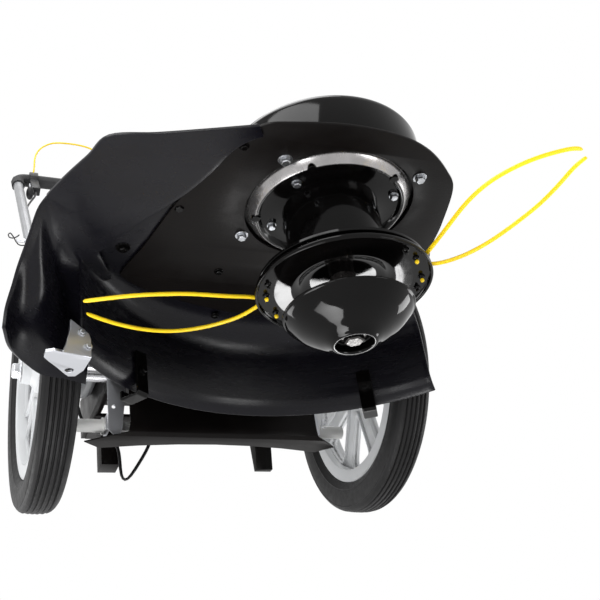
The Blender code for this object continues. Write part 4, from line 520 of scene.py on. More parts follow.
FLANGE_RADIUS = 0.0871
FLANGE_UNDER = 0.0650
FLANGE_OVER = 0.0675
POST_CIRCLE = 0.0760
POST_ANGLES = [radians(angle + turn) for turn in (0, 180) for angle in (116, 131, 158, 173)]
POST_PLATE_LOW = 0.0727
POST_PLATE_HIGH = 0.0757
POST_RADIUS = 0.0030
POST_MIDDLE = 0.0700
POST_HEIGHT = 0.0080
RIVET_RADIUS = 0.0036
RIVET_FLATNESS = 0.75
POST_TIP_HEIGHT = 0.0612
POST_TIP_RADIUS = 0.0018

dish = [(0.0690, 0.0651), (0.0640, 0.0654), (0.0560, 0.0659), (0.0500, 0.0665), (0.0450, 0.0684)]
dish += [(0.0400, 0.0715), (0.0340, 0.0733), (0.0280, 0.0737)]
flange_profile = [(0.0131, 0.0750), (0.0210, 0.0750), (0.0216, 0.0745), (0.0345, 0.0742), (0.0405, 0.0725)]
flange_profile += [(0.0455, 0.0694), (0.0505, FLANGE_OVER), (0.0848, FLANGE_OVER), (0.0862, 0.0671)]
flange_profile += [(0.0870, 0.0661), (FLANGE_RADIUS, 0.0650), (FLANGE_RADIUS, 0.0622), (0.0866, 0.0616)]
flange_profile += [(0.0858, 0.0614), (0.0850, 0.0618), (0.0846, 0.0626), (0.0843, 0.0642), (0.0834, 0.0650)]
flange_profile += [tuple(point) for point in smooth_line(dish, 5)] + [(0.0131, 0.0737)]
flange = bmesh.new()
turn_profile(flange, flange_profile, 160)
flatten = Matrix.Diagonal((1, 1, RIVET_FLATNESS, 1))
for angle in POST_ANGLES:
    rivet = Matrix.Translation((POST_CIRCLE * cos(angle), POST_CIRCLE * sin(angle), FLANGE_UNDER)) @ flatten
    bmesh.ops.create_uvsphere(flange, u_segments=20, v_segments=12, radius=RIVET_RADIUS, matrix=rivet)
settle("pressed_flange", flange, "cutting_head", "polished_black", gloss_enamel, "head_flange", sharp=40)

ring = bmesh.new()
ring_profile = [(0.0604, POST_PLATE_HIGH), (0.0826, POST_PLATE_HIGH), (0.0830, 0.0753), (0.0830, 0.0731)]
ring_profile += [(0.0826, POST_PLATE_LOW), (0.0604, POST_PLATE_LOW), (0.0600, 0.0731), (0.0600, 0.0753)]
turn_profile(ring, ring_profile, 128)
for angle in POST_ANGLES:
    post = Matrix.Translation((POST_CIRCLE * cos(angle), POST_CIRCLE * sin(angle), POST_MIDDLE))
    bmesh.ops.create_cone(
        ring, cap_ends=True, segments=20, radius1=POST_RADIUS, radius2=POST_RADIUS, depth=POST_HEIGHT,
        matrix=post,
    )
    tip = Matrix.Translation((POST_CIRCLE * cos(angle), POST_CIRCLE * sin(angle), POST_TIP_HEIGHT))
    bmesh.ops.create_uvsphere(ring, u_segments=16, v_segments=10, radius=POST_TIP_RADIUS, matrix=tip)
settle("post_ring", ring, "cutting_head", "polished_black", gloss_enamel, "line_post_plate", sharp=40)


# Cutting lines: yellow nylon, drawn round. Each is folded in two and hooked round the posts.
# Under four of the rivets, small yellow balls are painted glints that stand in for the yellow line's
# reflection there.

YELLOW_GLINT_HEIGHT = 0.0606
YELLOW_GLINT_RADIUS = 0.0022


def drawn_copy(node, paired=False):
    """The drawing's own shape of a node, welded, and with its triangles paired to quads if asked."""
    work = bmesh.new()
    work.from_mesh(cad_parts[node].data)
    bmesh.ops.remove_doubles(work, verts=work.verts, dist=MERGE)
    if paired:
        bmesh.ops.join_triangles(
            work, faces=work.faces, angle_face_threshold=radians(12), angle_shape_threshold=radians(60)
        )
    bmesh.ops.translate(work, verts=work.verts, vec=-HEAD)
    return work


def curved(piece, levels):
    """Rounds a piece of few faces by subdivision."""
    rounded = piece.modifiers.new("curve", "SUBSURF")
    rounded.levels = rounded.render_levels = levels


yellow_nylon = finish(
    "yellow_nylon", (0.93, 0.64, 0.008), 0.36, mottle=0.05, mottle_size=40, grain=0.02, grain_size=400,
    specular=0.35,
)
for side_name in ("right", "left"):
    node = f"cutting_line_{side_name}"
    line = drawn_copy(node, paired=True)
    curved(settle(f"nylon_line_{side_name}", line, "cutting_head", "yellow_nylon", yellow_nylon, node), 2)
# Painted glints: yellow balls under four rivets stand in for the line's reflection seen there.
yellow_glints = bmesh.new()
for angle in POST_ANGLES[1:3] + POST_ANGLES[5:7]:
    place = Matrix.Translation((POST_CIRCLE * cos(angle), POST_CIRCLE * sin(angle), YELLOW_GLINT_HEIGHT))
    bmesh.ops.create_uvsphere(yellow_glints, u_segments=16, v_segments=10, radius=YELLOW_GLINT_RADIUS, matrix=place)
settle("painted_yellow_glints", yellow_glints, "cutting_head", "yellow_nylon", yellow_nylon)


# The spindle: a black steel tube under the pan that holds the bearings. It stands in a turned disc, enamelled
# gloss black, with four lugs and four zinc screws. The pale metal ring on the disc's conical edge is a
# painted
# reflection: it stands in for the bright band of light that the edge shows.

TUBE_RADIUS = 0.0484
TUBE_BORE = 0.0263
TUBE_TOP = 0.1705
DISC_FACE = 0.1582
DISC_TOP = 0.1663
LUG_CIRCLE = 0.0757
LUG_ANGLES = [radians(angle) for angle in (234, 161, 304, 40)]
LUG_MIDDLE = 0.1556
LUG_HEIGHT = 0.0052
LUG_ROOT = 0.0048
LUG_TIP = 0.0040

bolt_zinc = finish("bolt_zinc", (0.46, 0.47, 0.49), 0.30, 1.0, mottle=0.25, mottle_size=160, grain=0.10)
painted_edge_sheen = finish("painted_edge_sheen", (0.34, 0.33, 0.33), 0.24, 0.9, mottle=0.25, mottle_size=30, grain=0.05)

spindle = bmesh.new()
tube_profile = [(TUBE_BORE, TUBE_TOP), (TUBE_RADIUS, TUBE_TOP), (TUBE_RADIUS, 0.0852), (0.0480, 0.0842)]
tube_profile += [(0.0472, 0.0840), (0.0300, 0.0840), (TUBE_BORE, 0.0846)]
turn_profile(spindle, tube_profile, 128)
settle("bearing_tube", spindle, "chassis", "satin_black_plate", gloss_enamel, "spindle_tube", sharp=40)

disc = bmesh.new()
disc_profile = [(0.0487, DISC_TOP), (0.0836, DISC_TOP), (0.0839, 0.1660), (0.0839, 0.1636), (0.0837, 0.1630)]
disc_profile += [(0.0766, 0.1545), (0.0762, 0.1542), (0.0732, 0.1542), (0.0728, 0.1545), (0.0712, 0.1576)]
disc_profile += [(0.0706, DISC_FACE), (0.0520, DISC_FACE), (0.0500, DISC_FACE - 0.0010)]
disc_profile += [(0.0487, DISC_FACE - 0.0012)]
turn_profile(disc, disc_profile, 160)
settle("turned_disc", disc, "chassis", "polished_black", gloss_enamel, "spindle_disc", sharp=40)

# Painted reflection: this pale metal ring over the disc's cone stands in for the bright band of light there.
edge = bmesh.new()
edge_profile = [(0.0841, 0.1660), (0.0841, 0.1634), (0.0839, 0.1628), (0.0768, 0.1543), (0.0763, 0.1540)]
edge_profile += [(0.0757, 0.1540), (0.0757, 0.1545), (0.0763, 0.1545), (0.0835, 0.1632), (0.0837, 0.1660)]
turn_profile(edge, edge_profile, 160)
settle("disc_edge", edge, "chassis", "machined_steel", painted_edge_sheen, sharp=50)

lugs = bmesh.new()
for angle in LUG_ANGLES:
    place = Matrix.Translation((LUG_CIRCLE * cos(angle), LUG_CIRCLE * sin(angle), LUG_MIDDLE))
    bmesh.ops.create_cone(
        lugs, cap_ends=True, segments=20, radius1=LUG_ROOT, radius2=LUG_TIP, depth=LUG_HEIGHT, matrix=place
    )
settle("disc_lugs", lugs, "chassis", "polished_black", gloss_enamel, rounding=0.0006)

screws = bmesh.new()
for x, y in ((-0.0495, -0.0340), (0.0565, -0.0344), (-0.0500, 0.0370), (0.0560, 0.0360)):
    hex_bolt(screws, (x, y, DISC_FACE), (0, 0, -1), 0.0072, 0.0040, 0.0050)
settle("disc_screws", screws, "chassis", "zinc", bolt_zinc, rounding=0.00025)


# Deck plate: flat steel sheet under the frame, powder coated, with a hole round the spindle's disc.
# Four zinc bolts stand close to the disc. Of the six black ones the two larger are in the shield's strip.

DECK_UNDER = 0.1600
DECK_HOLE = 0.0868
STRIP_UNDER = 0.1633

powder_black = finish(
    "powder_black", (0.0042, 0.0034, 0.0032), 0.34, mottle=0.22, mottle_size=9, grain=0.25, grain_size=420,
    polish=0.06, specular=0.09,
)
back = [(-0.177, 0.161), (-0.150, 0.180), (-0.110, 0.196), (-0.050, 0.212), (0.000, 0.2160), (0.060, 0.207)]
back += [(0.120, 0.180), (0.165, 0.140), (0.180, 0.120)]
left = [(0.170, 0.100), (0.146, 0.052), (0.135, 0.006), (0.117, -0.052), (0.098, -0.076)]
front = [(0.064, -0.102), (0.024, -0.116), (-0.029, -0.119), (-0.085, -0.110), (-0.107, -0.102)]
right = [(-0.123, -0.082), (-0.135, -0.060), (-0.141, -0.032), (-0.155, 0.026), (-0.168, 0.097)]
right += [(-0.180, 0.147)]
corners = back + left + front + right
outline = smooth_line(corners[-1:] + corners + corners[:2], 8)[8:-9]
deck_low, deck_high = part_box("deck_plate")
deck_middle = Matrix.Translation((0, 0, (deck_low.z + deck_high.z) / 2))
deck = bmesh.new()
flat_shape(deck, outline, [disc_outline(DECK_HOLE, 128)], deck_high.z - deck_low.z, deck_middle, 0.0004)
settle("deck_sheet", deck, "chassis", "satin_black_plate", powder_black, "deck_plate")

deck_bolts = bmesh.new()
for x, y in ((-0.071791, -0.062624), (0.071688, -0.064272), (-0.074057, 0.062006), (0.074057, 0.061800)):
    hex_bolt(deck_bolts, (x, y, DECK_UNDER), (0, 0, -1), 0.0086, 0.0046, 0.0070)
settle("deck_bolts", deck_bolts, "chassis", "zinc", bolt_zinc, rounding=0.00025)
black_bolts = bmesh.new()
for x, y in ((-0.1159, -0.0723), (-0.0776, 0.1320), (-0.0540, 0.2230), (0.0900, 0.1500)):
    hex_bolt(black_bolts, (x, y, DECK_UNDER), (0, 0, -1), 0.0064, 0.0022, 0.0050)
for x, y in ((-0.1492, 0.0306), (-0.1878, 0.1092)):
    hex_bolt(black_bolts, (x, y, STRIP_UNDER), (0, 0, -1), 0.0086, 0.0040, 0.0078)
settle("black_deck_bolts", black_bolts, "chassis", "satin_black_plate", gloss_enamel, rounding=0.00025)


# Debris shield and side deflector: sheets of black plastic, moulded to shape, round the back and the right of
# the cutting head. The shield's rim and strip lie on the deck plate, and the deflector's root under it.

SHEET = 0.0030
SHEET_ROUND = 0.0007
WALL_RADIUS = 0.2620
WALL_FROM = 151
WALL_SWEEP = 108
WALL_STEPS = 72
WALL_LOW = 0.0720
LIP_RADIUS = 0.2720
LIP_HEIGHT = 0.0550
TOP_INNER = 0.1500
BEND_AT_END = 0.0170
BEND_MORE = 0.0230
BEND_STEPS = 10
SHIELD_MIDDLE = 0.1648
DEFLECTOR_MIDDLE = 0.1582

moulded_sheet = finish(
    "moulded_sheet", (0.0034, 0.0032, 0.0050), 0.27, mottle=0.25, mottle_size=7, grain=0.12, grain_size=240,
    streak=(1, 1, 5), polish=0.05, specular=0.21,
)


def sheet_through(work, rows):
    """Adds a sheet of quads through rows of points."""
    made = bmesh.ops.create_grid(work, x_segments=len(rows[0]) - 1, y_segments=len(rows) - 1, size=1)
    for vert, point in zip(made["verts"], [point for row in rows for point in row]):
        vert.co = point


def smooth_rows(rows, steps):
    """The rows with more points between them, on smooth curves both ways."""
    fine = [smooth_line(row, steps) for row in rows]
    columns = [smooth_line(column, steps) for column in zip(*fine)]
    return [list(row) for row in zip(*columns)]


def settle_sheet(name, work, slot, material, node, thickness, rounding):
    """Settles a sheet on the chassis, gives it its thickness to both sides and rounds its edges."""
    bmesh.ops.remove_doubles(work, verts=work.verts, dist=0.00005)
    bmesh.ops.recalc_face_normals(work, faces=work.faces)
    piece = settle(name, work, "chassis", slot, material, node, sharp=60)
    solid = piece.modifiers.new("sheet", "SOLIDIFY")
    solid.thickness = thickness
    solid.offset = 0
    edge = piece.modifiers.new("edge", "BEVEL")
    edge.width = rounding
    edge.segments = 2
    edge.limit_method = "ANGLE"
    edge.angle_limit = radians(50)


shield = bmesh.new()
wall = []
for step in range(WALL_STEPS + 1):
    share = step / WALL_STEPS
    angle = radians(WALL_FROM - WALL_SWEEP * share)
    bend = BEND_AT_END + BEND_MORE * min(1, share * 2)
    section = [(TOP_INNER, SHIELD_MIDDLE), (WALL_RADIUS - bend, SHIELD_MIDDLE)]
    for part in range(1, BEND_STEPS + 1):
        swing = pi / 2 * part / BEND_STEPS
        section.append((WALL_RADIUS - bend * (1 - sin(swing)), SHIELD_MIDDLE - bend * (1 - cos(swing))))
    lip = [(WALL_RADIUS, WALL_LOW), (WALL_RADIUS + 0.004, 0.0620), (LIP_RADIUS, LIP_HEIGHT)]
    section += smooth_line(lip, 3)
    wall.append([(radius * cos(angle), radius * sin(angle), height) for radius, height in section])
sheet_through(shield, wall)
strip_inner = smooth_line([(-0.128, 0.060), (-0.124, 0.040), (-0.122, 0.015), (-0.120, -0.010)], 3)
strip_inner += smooth_line([(-0.117, -0.030), (-0.112, -0.050), (-0.104, -0.066), (-0.092, -0.080)], 3)
strip_outer = smooth_line([(-0.207, 0.089), (-0.191, 0.056), (-0.172, 0.025), (-0.156, -0.003)], 3)
strip_outer += smooth_line([(-0.142, -0.037), (-0.134, -0.067), (-0.124, -0.087), (-0.111, -0.098)], 3)
strip = [wall[0][:2]]
for inner, outer in zip(strip_inner, strip_outer):
    strip.append([(*inner, SHIELD_MIDDLE), (*outer, SHIELD_MIDDLE)])
sheet_through(shield, strip)
settle_sheet("shield_sheet", shield, "shield_plastic", moulded_sheet, "debris_shield", SHEET, SHEET_ROUND)

# The deflector's flat root, with its inner and outer edges from the front to the back.
root_inner = [(-0.104, -0.092), (-0.117, -0.080), (-0.127, -0.062), (-0.135, -0.034), (-0.149, 0.000)]
root_inner += [(-0.165, 0.028), (-0.184, 0.059)]
root_outer = [(-0.112, -0.104), (-0.156, -0.0885), (-0.198, -0.0745), (-0.238, -0.0625), (-0.251, -0.032)]
root_outer += [(-0.264, -0.003), (-0.276, 0.028)]
folds = []
for inner, outer in zip(root_inner, root_outer):
    inner, outer = Vector((*inner, DEFLECTOR_MIDDLE)), Vector((*outer, DEFLECTOR_MIDDLE))
    folds.append([2 * inner - inner.lerp(outer, 0.25)] + [inner.lerp(outer, step / 4) for step in range(5)])

# Its falling part in millimetres: a height, and the fold's points there from the shield out to the free edge.
falling = [
    (158.2, [(-189, 160), (-213, 113), (-237, 66), (-266, 40), (-272, 37), (-277, 34)]),
    (150.0, [(-222, 152), (-247, 128), (-260, 96), (-275, 60), (-279, 52), (-283, 45)]),
    (135.0, [(-214, 172), (-240, 158), (-257, 121), (-274, 84), (-282, 75), (-288, 66)]),
    (118.0, [(-209, 184), (-233, 176), (-253, 140), (-271, 106), (-285, 99), (-294, 89)]),
    (100.0, [(-208, 190), (-234, 178), (-253, 152), (-269, 128), (-286, 116), (-298, 98)]),
    (78.0, [(-209, 199), (-236, 186), (-253, 170), (-267, 154), (-290, 131), (-303, 105)]),
    (56.0, [(-210, 213), (-234, 202), (-256, 196), (-272, 180), (-294, 146), (-305, 106)]),
]
for height, row in falling:
    folds.append([Vector((x, y, height)) / 1000 for x, y in row])
FINE = 6
hood = smooth_rows(folds, FINE)
for row in hood:
    for point in row:
        point.z = min(point.z, DEFLECTOR_MIDDLE)
deflector = bmesh.new()
sheet_through(deflector, [row[FINE:] for row in hood])
sheet_through(deflector, [row[:FINE + 1] for row in hood[len(root_inner) * FINE:]])
settle_sheet(
    "deflector_sheet", deflector, "shield_plastic", moulded_sheet, "side_deflector", SHEET, SHEET_ROUND
)


# Shield fixings: two black steel straps, hooked round the shield's lip and bolted to its wall.
# A bright zinc angle, folded from sheet, is screwed between the shield and the deflector.

STRAP_BOLT_REACH = 0.2561
STRAP_BOLT_HEIGHT = 0.0740

bright_zinc = finish(
    "bright_zinc", (0.56, 0.57, 0.60), 0.36, 1.0, mottle=0.06, mottle_size=10, grain=0.04, grain_size=500,
    polish=0.03,
)
for side_name in ("right", "left"):
    node = f"shield_clip_{side_name}"
    settle(
        f"hooked_strap_{side_name}", drawn_copy(node), "chassis", "satin_black_plate", gloss_enamel, node,
        rounding=0.0013, segments=3,
    )
strap_bolts = bmesh.new()
for angle in (radians(125.4), radians(60.4)):
    inward = Vector((-cos(angle), -sin(angle), 0))
    place = inward * -STRAP_BOLT_REACH + Vector((0, 0, STRAP_BOLT_HEIGHT))
    hex_bolt(strap_bolts, place, inward, 0.0070, 0.0030, 0.0056)
settle("strap_bolts", strap_bolts, "chassis", "satin_black_plate", gloss_enamel, rounding=0.0003)
bracket = "deflector_bracket"
settle("folded_angle", drawn_copy(bracket), "chassis", "zinc", bright_zinc, bracket, rounding=0.0005)
angle_screws = bmesh.new()
facing = Vector((0.2538, -0.9673, 0))
for place in ((-0.2296, 0.1222, 0.0656), (-0.2234, 0.1238, 0.0510)):
    hex_bolt(angle_screws, place, facing, 0.0052, 0.0022, 0.0042)
settle("angle_screws", angle_screws, "chassis", "zinc", bolt_zinc, rounding=0.0003)


# Belt cover: sheet pressed to a long hood over the belt, round at the nose and enamelled gloss black.
# It stands on the frame's pan and is open towards the engine.

COVER_NOSE = 0.10075
COVER_SIDE = 0.12375
COVER_END_Y = 0.2400
COVER_FOOT = 0.1706
COVER_ROOF = 0.22275
COVER_ROUND = 0.0100
COVER_SHEET = 0.0025
ROUND_STEPS = 8
NOSE_STEPS = 48

reach = hypot(COVER_SIDE, COVER_END_Y)
start = atan2(COVER_END_Y, COVER_SIDE) - acos(COVER_NOSE / reach)
nose = [start - (pi + 2 * start) * step / NOSE_STEPS for step in range(NOSE_STEPS + 1)]
footprint = [Vector((COVER_SIDE, COVER_END_Y, 0))]
footprint += [Vector((COVER_NOSE * cos(angle), COVER_NOSE * sin(angle), 0)) for angle in nose]
footprint.append(Vector((-COVER_SIDE, COVER_END_Y, 0)))
cover_rows = []
for place in footprint:
    spine = Vector((0, COVER_END_Y if place.y > COVER_END_Y - 0.001 else 0, 0))
    inward = (spine - place).normalized()
    row = [place + Vector((0, 0, COVER_FOOT))]
    for step in range(ROUND_STEPS + 1):
        swing = pi / 2 * step / ROUND_STEPS
        across, drop = COVER_ROUND * (1 - cos(swing)), COVER_ROUND * (1 - sin(swing))
        row.append(place + inward * across + Vector((0, 0, COVER_ROOF - drop)))
    cover_rows.append(row + [spine + Vector((0, 0, COVER_ROOF))])
cover = bmesh.new()
sheet_through(cover, cover_rows)
settle_sheet("pressed_cover", cover, "polished_black", gloss_enamel, "belt_cover", COVER_SHEET, 0.0006)


# Frame: steel plate and box section, welded and powder coated, that carries the engine and the pan.
# The axle guard in front of the axle is folded from sheet and has the same coat.

for name, node in (("welded_frame", "chassis_frame"), ("folded_guard", "axle_guard")):
    settle(name, drawn_copy(node), "chassis", "satin_black_plate", powder_black, node, rounding=0.0006)


# Axle: a plain steel bar in two zinc plated brackets.
# Beside its guard run a rod in a white plastic sleeve and a zinc pull spring.

turned_steel = finish(
    "turned_steel", (0.52, 0.52, 0.54), 0.30, 1.0, mottle=0.10, mottle_size=50, grain=0.12, grain_size=800
)
white_moulding = finish("white_moulding", (0.76, 0.76, 0.74), 0.40, mottle=0.05, grain=0.08)
settle("wheel_axle", drawn_copy("axle"), "chassis", "machined_steel", turned_steel, "axle", rounding=0.0005)
for side_name in ("right", "left"):
    node = f"axle_bracket_{side_name}"
    settle(f"zinc_plate_{side_name}", drawn_copy(node), "chassis", "zinc", bright_zinc, node, rounding=0.0004)
settle("guard_rod_sleeve", drawn_copy("guard_rod"), "chassis", "white_plastic", white_moulding, "guard_rod")
coil = drawn_copy("guard_spring", paired=True)
curved(settle("guard_pull_spring", coil, "chassis", "zinc", bright_zinc, "guard_spring"), 1)


# Belt drive: turned steel pulleys on the engine's and the head's shafts, and a rubber belt.
# A plastic idler on a sprung zinc arm tightens the belt. The head's shaft runs in two bearings.

dark_steel = finish("dark_steel", (0.050, 0.046, 0.044), 0.30, 0.8, mottle=0.15, mottle_size=50, grain=0.10)
belt_rubber = finish(
    "belt_rubber", (0.018, 0.018, 0.018), 0.72, mottle=0.2, mottle_size=40, grain=0.4, grain_size=900
)
black_moulding = finish(
    "black_moulding", (0.012, 0.012, 0.013), 0.42, mottle=0.15, mottle_size=25, grain=0.30, grain_size=900,
    specular=0.28,
)
for name, node, body, slot, material in (
    ("vee_belt", "drive_belt", "chassis", "belt_rubber", belt_rubber),
    ("engine_shaft", "crankshaft", "crankshaft", "machined_steel", turned_steel),
    ("engine_pulley", "crank_pulley", "crankshaft", "machined_steel", turned_steel),
    ("head_shaft", "spindle_shaft", "cutting_head", "machined_steel", dark_steel),
    ("head_pulley", "spindle_pulley", "cutting_head", "machined_steel", turned_steel),
    ("shaft_bearing_upper", "upper_bearing", "chassis", "machined_steel", turned_steel),
    ("shaft_bearing_lower", "lower_bearing", "chassis", "machined_steel", turned_steel),
    ("tension_arm", "idler_arm", "idler_arm", "zinc", bright_zinc),
    ("tension_pulley", "idler_pulley", "idler_pulley", "black_plastic", black_moulding),
):
    settle(name, drawn_copy(node), body, slot, material, node, rounding=0.0003)


# Engine: a cast crankcase and finned cylinder under a black plastic blower housing, with a plastic tank and
# filter box, a muffler in heat-proof black paint, and red rubber on the primer.

casting = finish(
    "casting", (0.30, 0.30, 0.31), 0.48, 0.85, mottle=0.15, mottle_size=30, grain=0.5, grain_size=420
)
heat_paint = finish("heat_paint", (0.024, 0.022, 0.021), 0.60, 0.2, mottle=0.3, mottle_size=20, grain=0.4)
glazed = finish("glazed", (0.80, 0.78, 0.73), 0.18, mottle=0.03, grain=0.02)
red_rubber = finish("red_rubber", (0.42, 0.020, 0.012), 0.42, mottle=0.08, mottle_size=60, grain=0.10)
for name, node, body, slot, material, rounding in (
    ("crankcase_casting", "engine_block", "chassis", "engine_casting", casting, 0.0006),
    ("blower_shell", "blower_housing", "chassis", "black_plastic", black_moulding, 0.0012),
    ("petrol_tank", "fuel_tank", "chassis", "black_plastic", black_moulding, 0.0004),
    ("exhaust_box", "muffler", "chassis", "heat_black", heat_paint, 0.0006),
    ("carburettor_body", "carburettor", "chassis", "engine_casting", casting, 0.0005),
    ("filter_box", "air_cleaner", "chassis", "black_plastic", black_moulding, 0.0006),
    ("plug_insulator", "spark_plug", "chassis", "ceramic", glazed, 0.0002),
    ("pull_handle", "starter_grip", "chassis", "black_plastic", black_moulding, 0.0005),
    ("petrol_cap", "fuel_cap", "fuel_cap", "black_plastic", black_moulding, 0.0006),
    ("oil_filler_cap", "oil_cap", "oil_cap", "black_plastic", black_moulding, 0.0006),
    ("priming_bulb", "primer_bulb", "primer_bulb", "red_rubber", red_rubber, 0.0004),
):
    settle(name, drawn_copy(node), body, slot, material, node, rounding=rounding)


# The covers' louvres and ribs: plastic, moulded on the blower housing and the filter box.
# The tank's seam stands out a little where its two halves are welded.

CRANK_Y = 0.3600
CLEANER_LOUVRES = 4
SIDE_RIBS = 30
TOP_LOUVRES = 12


def block(work, low, high, turn=Matrix()):
    """Adds a box between two corners, turned with its place."""
    low, high = Vector(low), Vector(high)
    size = Matrix.Diagonal((*(high - low), 1))
    bmesh.ops.create_cube(work, size=1, matrix=turn @ Matrix.Translation((low + high) / 2) @ size)


def turned_about(x, y, share):
    """The turn by a share of a full one about an upright axis at a place."""
    return Matrix.Translation((x, y, 0)) @ Matrix.Rotation(2 * pi * share, 4, "Z")


louvres = bmesh.new()
for step in range(TOP_LOUVRES):
    turn = turned_about(0, CRANK_Y, step / TOP_LOUVRES)
    block(louvres, (0.0300, -0.0016, 0.4235), (0.0660, 0.0016, 0.4266), turn)
for step in range(SIDE_RIBS):
    turn = turned_about(0, CRANK_Y, step / SIDE_RIBS)
    for low in (0.3270, 0.3350, 0.3430):
        block(louvres, (0.1165, -0.0085, low), (0.1192, 0.0085, low + 0.0035), turn)
cleaner_low, cleaner_high = (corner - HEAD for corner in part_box("air_cleaner"))
for step in range(CLEANER_LOUVRES):
    low = cleaner_high.z - 0.0300 + 0.0065 * step
    block(
        louvres, (cleaner_low.x - 0.0012, cleaner_low.y + 0.018, low),
        (cleaner_low.x + 0.0010, cleaner_high.y - 0.018, low + 0.0032),
    )
seam = round_corners([(-0.1110, 0.4810), (0.1110, 0.4810), (0.1110, 0.5680), (-0.1110, 0.5680)], 0.0300)
flat_shape(louvres, seam, (), 0.0034, Matrix.Translation((0, 0, 0.3000)), 0.0008)
settle("moulded_louvres", louvres, "chassis", "black_plastic", black_moulding, rounding=0.0006)


# The engine's zinc bolts: four on top hold the blower housing down.
# Four more at the sides are larger, two in each side of the frame.

BLOWER_BOLT_CIRCLE = 0.094
BLOWER_BOLT_SEAT = 0.3968
SIDE_BOLT_X = 0.1643
SIDE_BOLT_HEIGHT = 0.2000

engine_bolts = bmesh.new()
for step in range(4):
    angle = pi / 4 + pi / 2 * step
    place = (BLOWER_BOLT_CIRCLE * cos(angle), CRANK_Y + BLOWER_BOLT_CIRCLE * sin(angle), BLOWER_BOLT_SEAT)
    hex_bolt(engine_bolts, place, (0, 0, 1), 0.0080, 0.0045, 0.0070)
for sign in (-1, 1):
    for y in (0.4600, 0.5050):
        place = (sign * SIDE_BOLT_X, y, SIDE_BOLT_HEIGHT)
        hex_bolt(engine_bolts, place, (sign, 0, 0), 0.0130, 0.0070, 0.0100)
settle("engine_bolts", engine_bolts, "chassis", "zinc", bolt_zinc, rounding=0.0003)


# The muffler's guard: seven steel bars in front of its hot wall, in the same heat-proof paint.
# Its outlet is a stub of steel tube that stands out at the left end.

GUARD_BARS = 7
BAR_PITCH = 0.0078
BAR_WIDTH = 0.0036

muffler_low, muffler_high = (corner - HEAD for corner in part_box("muffler"))
guard = bmesh.new()
for step in range(GUARD_BARS):
    low = muffler_low.x + 0.0100 + BAR_PITCH * step
    block(
        guard, (low, muffler_low.y - 0.0012, muffler_low.z + 0.010),
        (low + BAR_WIDTH, muffler_low.y + 0.0010, muffler_high.z - 0.010),
    )
outlet = [(0.0062, -0.0020), (0.0085, -0.0020), (0.0085, 0.0080), (0.0080, 0.0085), (0.0066, 0.0085)]
outlet += [(0.0062, 0.0080)]
outlet_place = (muffler_high.x, (muffler_low.y + muffler_high.y) / 2, muffler_high.z - 0.022)
turn_profile(guard, outlet, 40, Matrix.Translation(outlet_place) @ Matrix.Rotation(pi / 2, 4, "Y"))
settle("exhaust_guard", guard, "chassis", "heat_black", heat_paint, rounding=0.0005)


# The ribs round the petrol cap and the oil cap: black plastic, moulded on.
# They give the fingers a hold, and turn with the caps.

for name, body, x, y, reach, low, high, count in (
    ("petrol_cap_ribs", "fuel_cap", 0.0500, 0.5250, 0.0240, 0.3722, 0.3872, 22),
    ("oil_cap_ribs", "oil_cap", 0.1250, 0.4200, 0.0170, 0.3013, 0.3108, 16),
):
    ribs = bmesh.new()
    for step in range(count):
        turn = turned_about(x, y, step / count)
        block(ribs, (reach - 0.0010, -0.0011, low), (reach + 0.0011, 0.0011, high), turn)
    settle(name, ribs, body, "black_plastic", black_moulding, rounding=0.0005)


# Handle: round steel tube in two halves, coated silver grey, that two zinc pins hold together.
# Fixed to it are a foam sleeve, the clutch lever, the throttle on its clamp, the cables and the spare line.

silver_coat = finish(
    "silver_coat", (0.27, 0.275, 0.285), 0.34, 0.35, mottle=0.06, mottle_size=30, grain=0.20, grain_size=900
)
foam = finish("foam", (0.016, 0.016, 0.017), 0.80, mottle=0.25, mottle_size=60, grain=0.8, grain_size=500)
for name, node, body, slot, material in (
    ("handle_tube_lower", "lower_handle", "chassis", "silver_tube", silver_coat),
    ("handle_tube_upper", "upper_handle", "upper_handle", "silver_tube", silver_coat),
    ("foam_sleeve", "handle_grip", "upper_handle", "foam_grip", foam),
    ("fold_pin_right", "handle_pin_right", "upper_handle", "zinc", bright_zinc),
    ("fold_pin_left", "handle_pin_left", "upper_handle", "zinc", bright_zinc),
    ("lever_clamp", "lever_bracket", "upper_handle", "black_plastic", black_moulding),
    ("throttle_clamp", "throttle_control", "upper_handle", "black_plastic", black_moulding),
    ("drive_lever", "clutch_lever", "clutch_lever", "black_plastic", black_moulding),
    ("speed_lever", "throttle_lever", "throttle_lever", "zinc", bright_zinc),
):
    settle(name, drawn_copy(node), body, slot, material, node, rounding=0.0004)
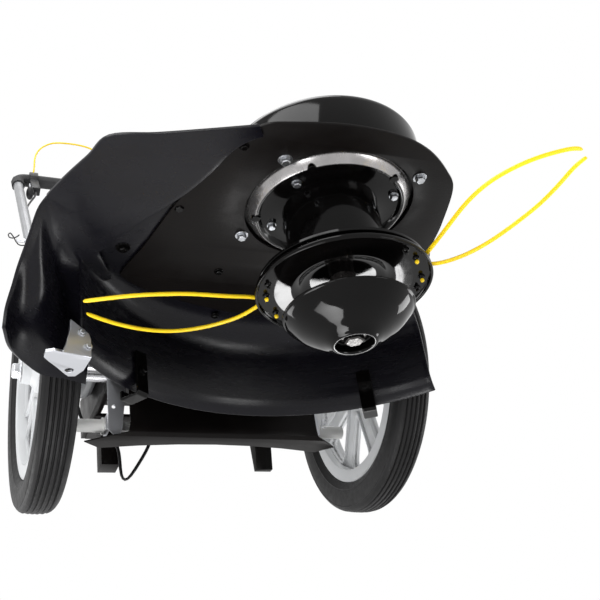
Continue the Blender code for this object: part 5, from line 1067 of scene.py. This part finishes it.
for name, node, body, slot, material in (
    ("cable_lower", "throttle_cable_lower", "chassis", "black_plastic", black_moulding),
    ("cable_upper", "throttle_cable_upper", "upper_handle", "black_plastic", black_moulding),
    ("spare_nylon", "spare_line", "upper_handle", "yellow_nylon", yellow_nylon),
):
    curved(settle(name, drawn_copy(node, paired=True), body, slot, material, node), 1)


# The throttle's knob: an egg of black plastic, to push with the thumb.
# It is pressed on the end of the zinc lever.

KNOB_PLACE = (-0.1575, 1.0480, 0.9560)
KNOB_LEAN = radians(-55.4)
KNOB_RADII = (0.0085, 0.0150, 0.0090)

knob = bmesh.new()
knob_shape = Matrix.Rotation(KNOB_LEAN, 4, "X") @ Matrix.Diagonal((*KNOB_RADII, 1))
bmesh.ops.create_uvsphere(
    knob, u_segments=28, v_segments=18, radius=1, matrix=Matrix.Translation(KNOB_PLACE) @ knob_shape
)
settle("speed_knob", knob, "throttle_lever", "black_plastic", black_moulding)


# The fold pins' spring clips: black wire, bent to a hook.
# One on each side keeps its pin from sliding out.

CLIP_WIRE = 0.0012
CLIP_BENDS = [(0.186, 0.8760, 0.694), (0.193, 0.8775, 0.693), (0.200, 0.8775, 0.694), (0.2055, 0.8765, 0.700)]
CLIP_BENDS += [(0.2105, 0.8750, 0.709), (0.2165, 0.8730, 0.716), (0.2205, 0.8710, 0.711)]
CLIP_BENDS += [(0.2190, 0.8695, 0.704), (0.2125, 0.8680, 0.7015), (0.206, 0.8665, 0.704)]
CLIP_BENDS += [(0.201, 0.8660, 0.709)]

for side_name, sign in (("right", -1), ("left", 1)):
    route = [HEAD + Vector((sign * x, y, z)) for x, y, z in smooth_line(CLIP_BENDS, 5)]
    wire = bpy.data.curves.new(f"spring_clip_{side_name}", "CURVE")
    wire.dimensions = "3D"
    wire.bevel_depth = CLIP_WIRE
    wire.bevel_resolution = 3
    wire.use_fill_caps = True
    spline = wire.splines.new("POLY")
    spline.points.add(len(route) - 1)
    for point, place in zip(spline.points, route):
        point.co = (*place, 1)
    wire.materials.append(black_moulding)
    clip = bpy.data.objects.new(f"spring_clip_{side_name}", wire)
    bpy.context.scene.collection.objects.link(clip)
    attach(clip, "upper_handle")
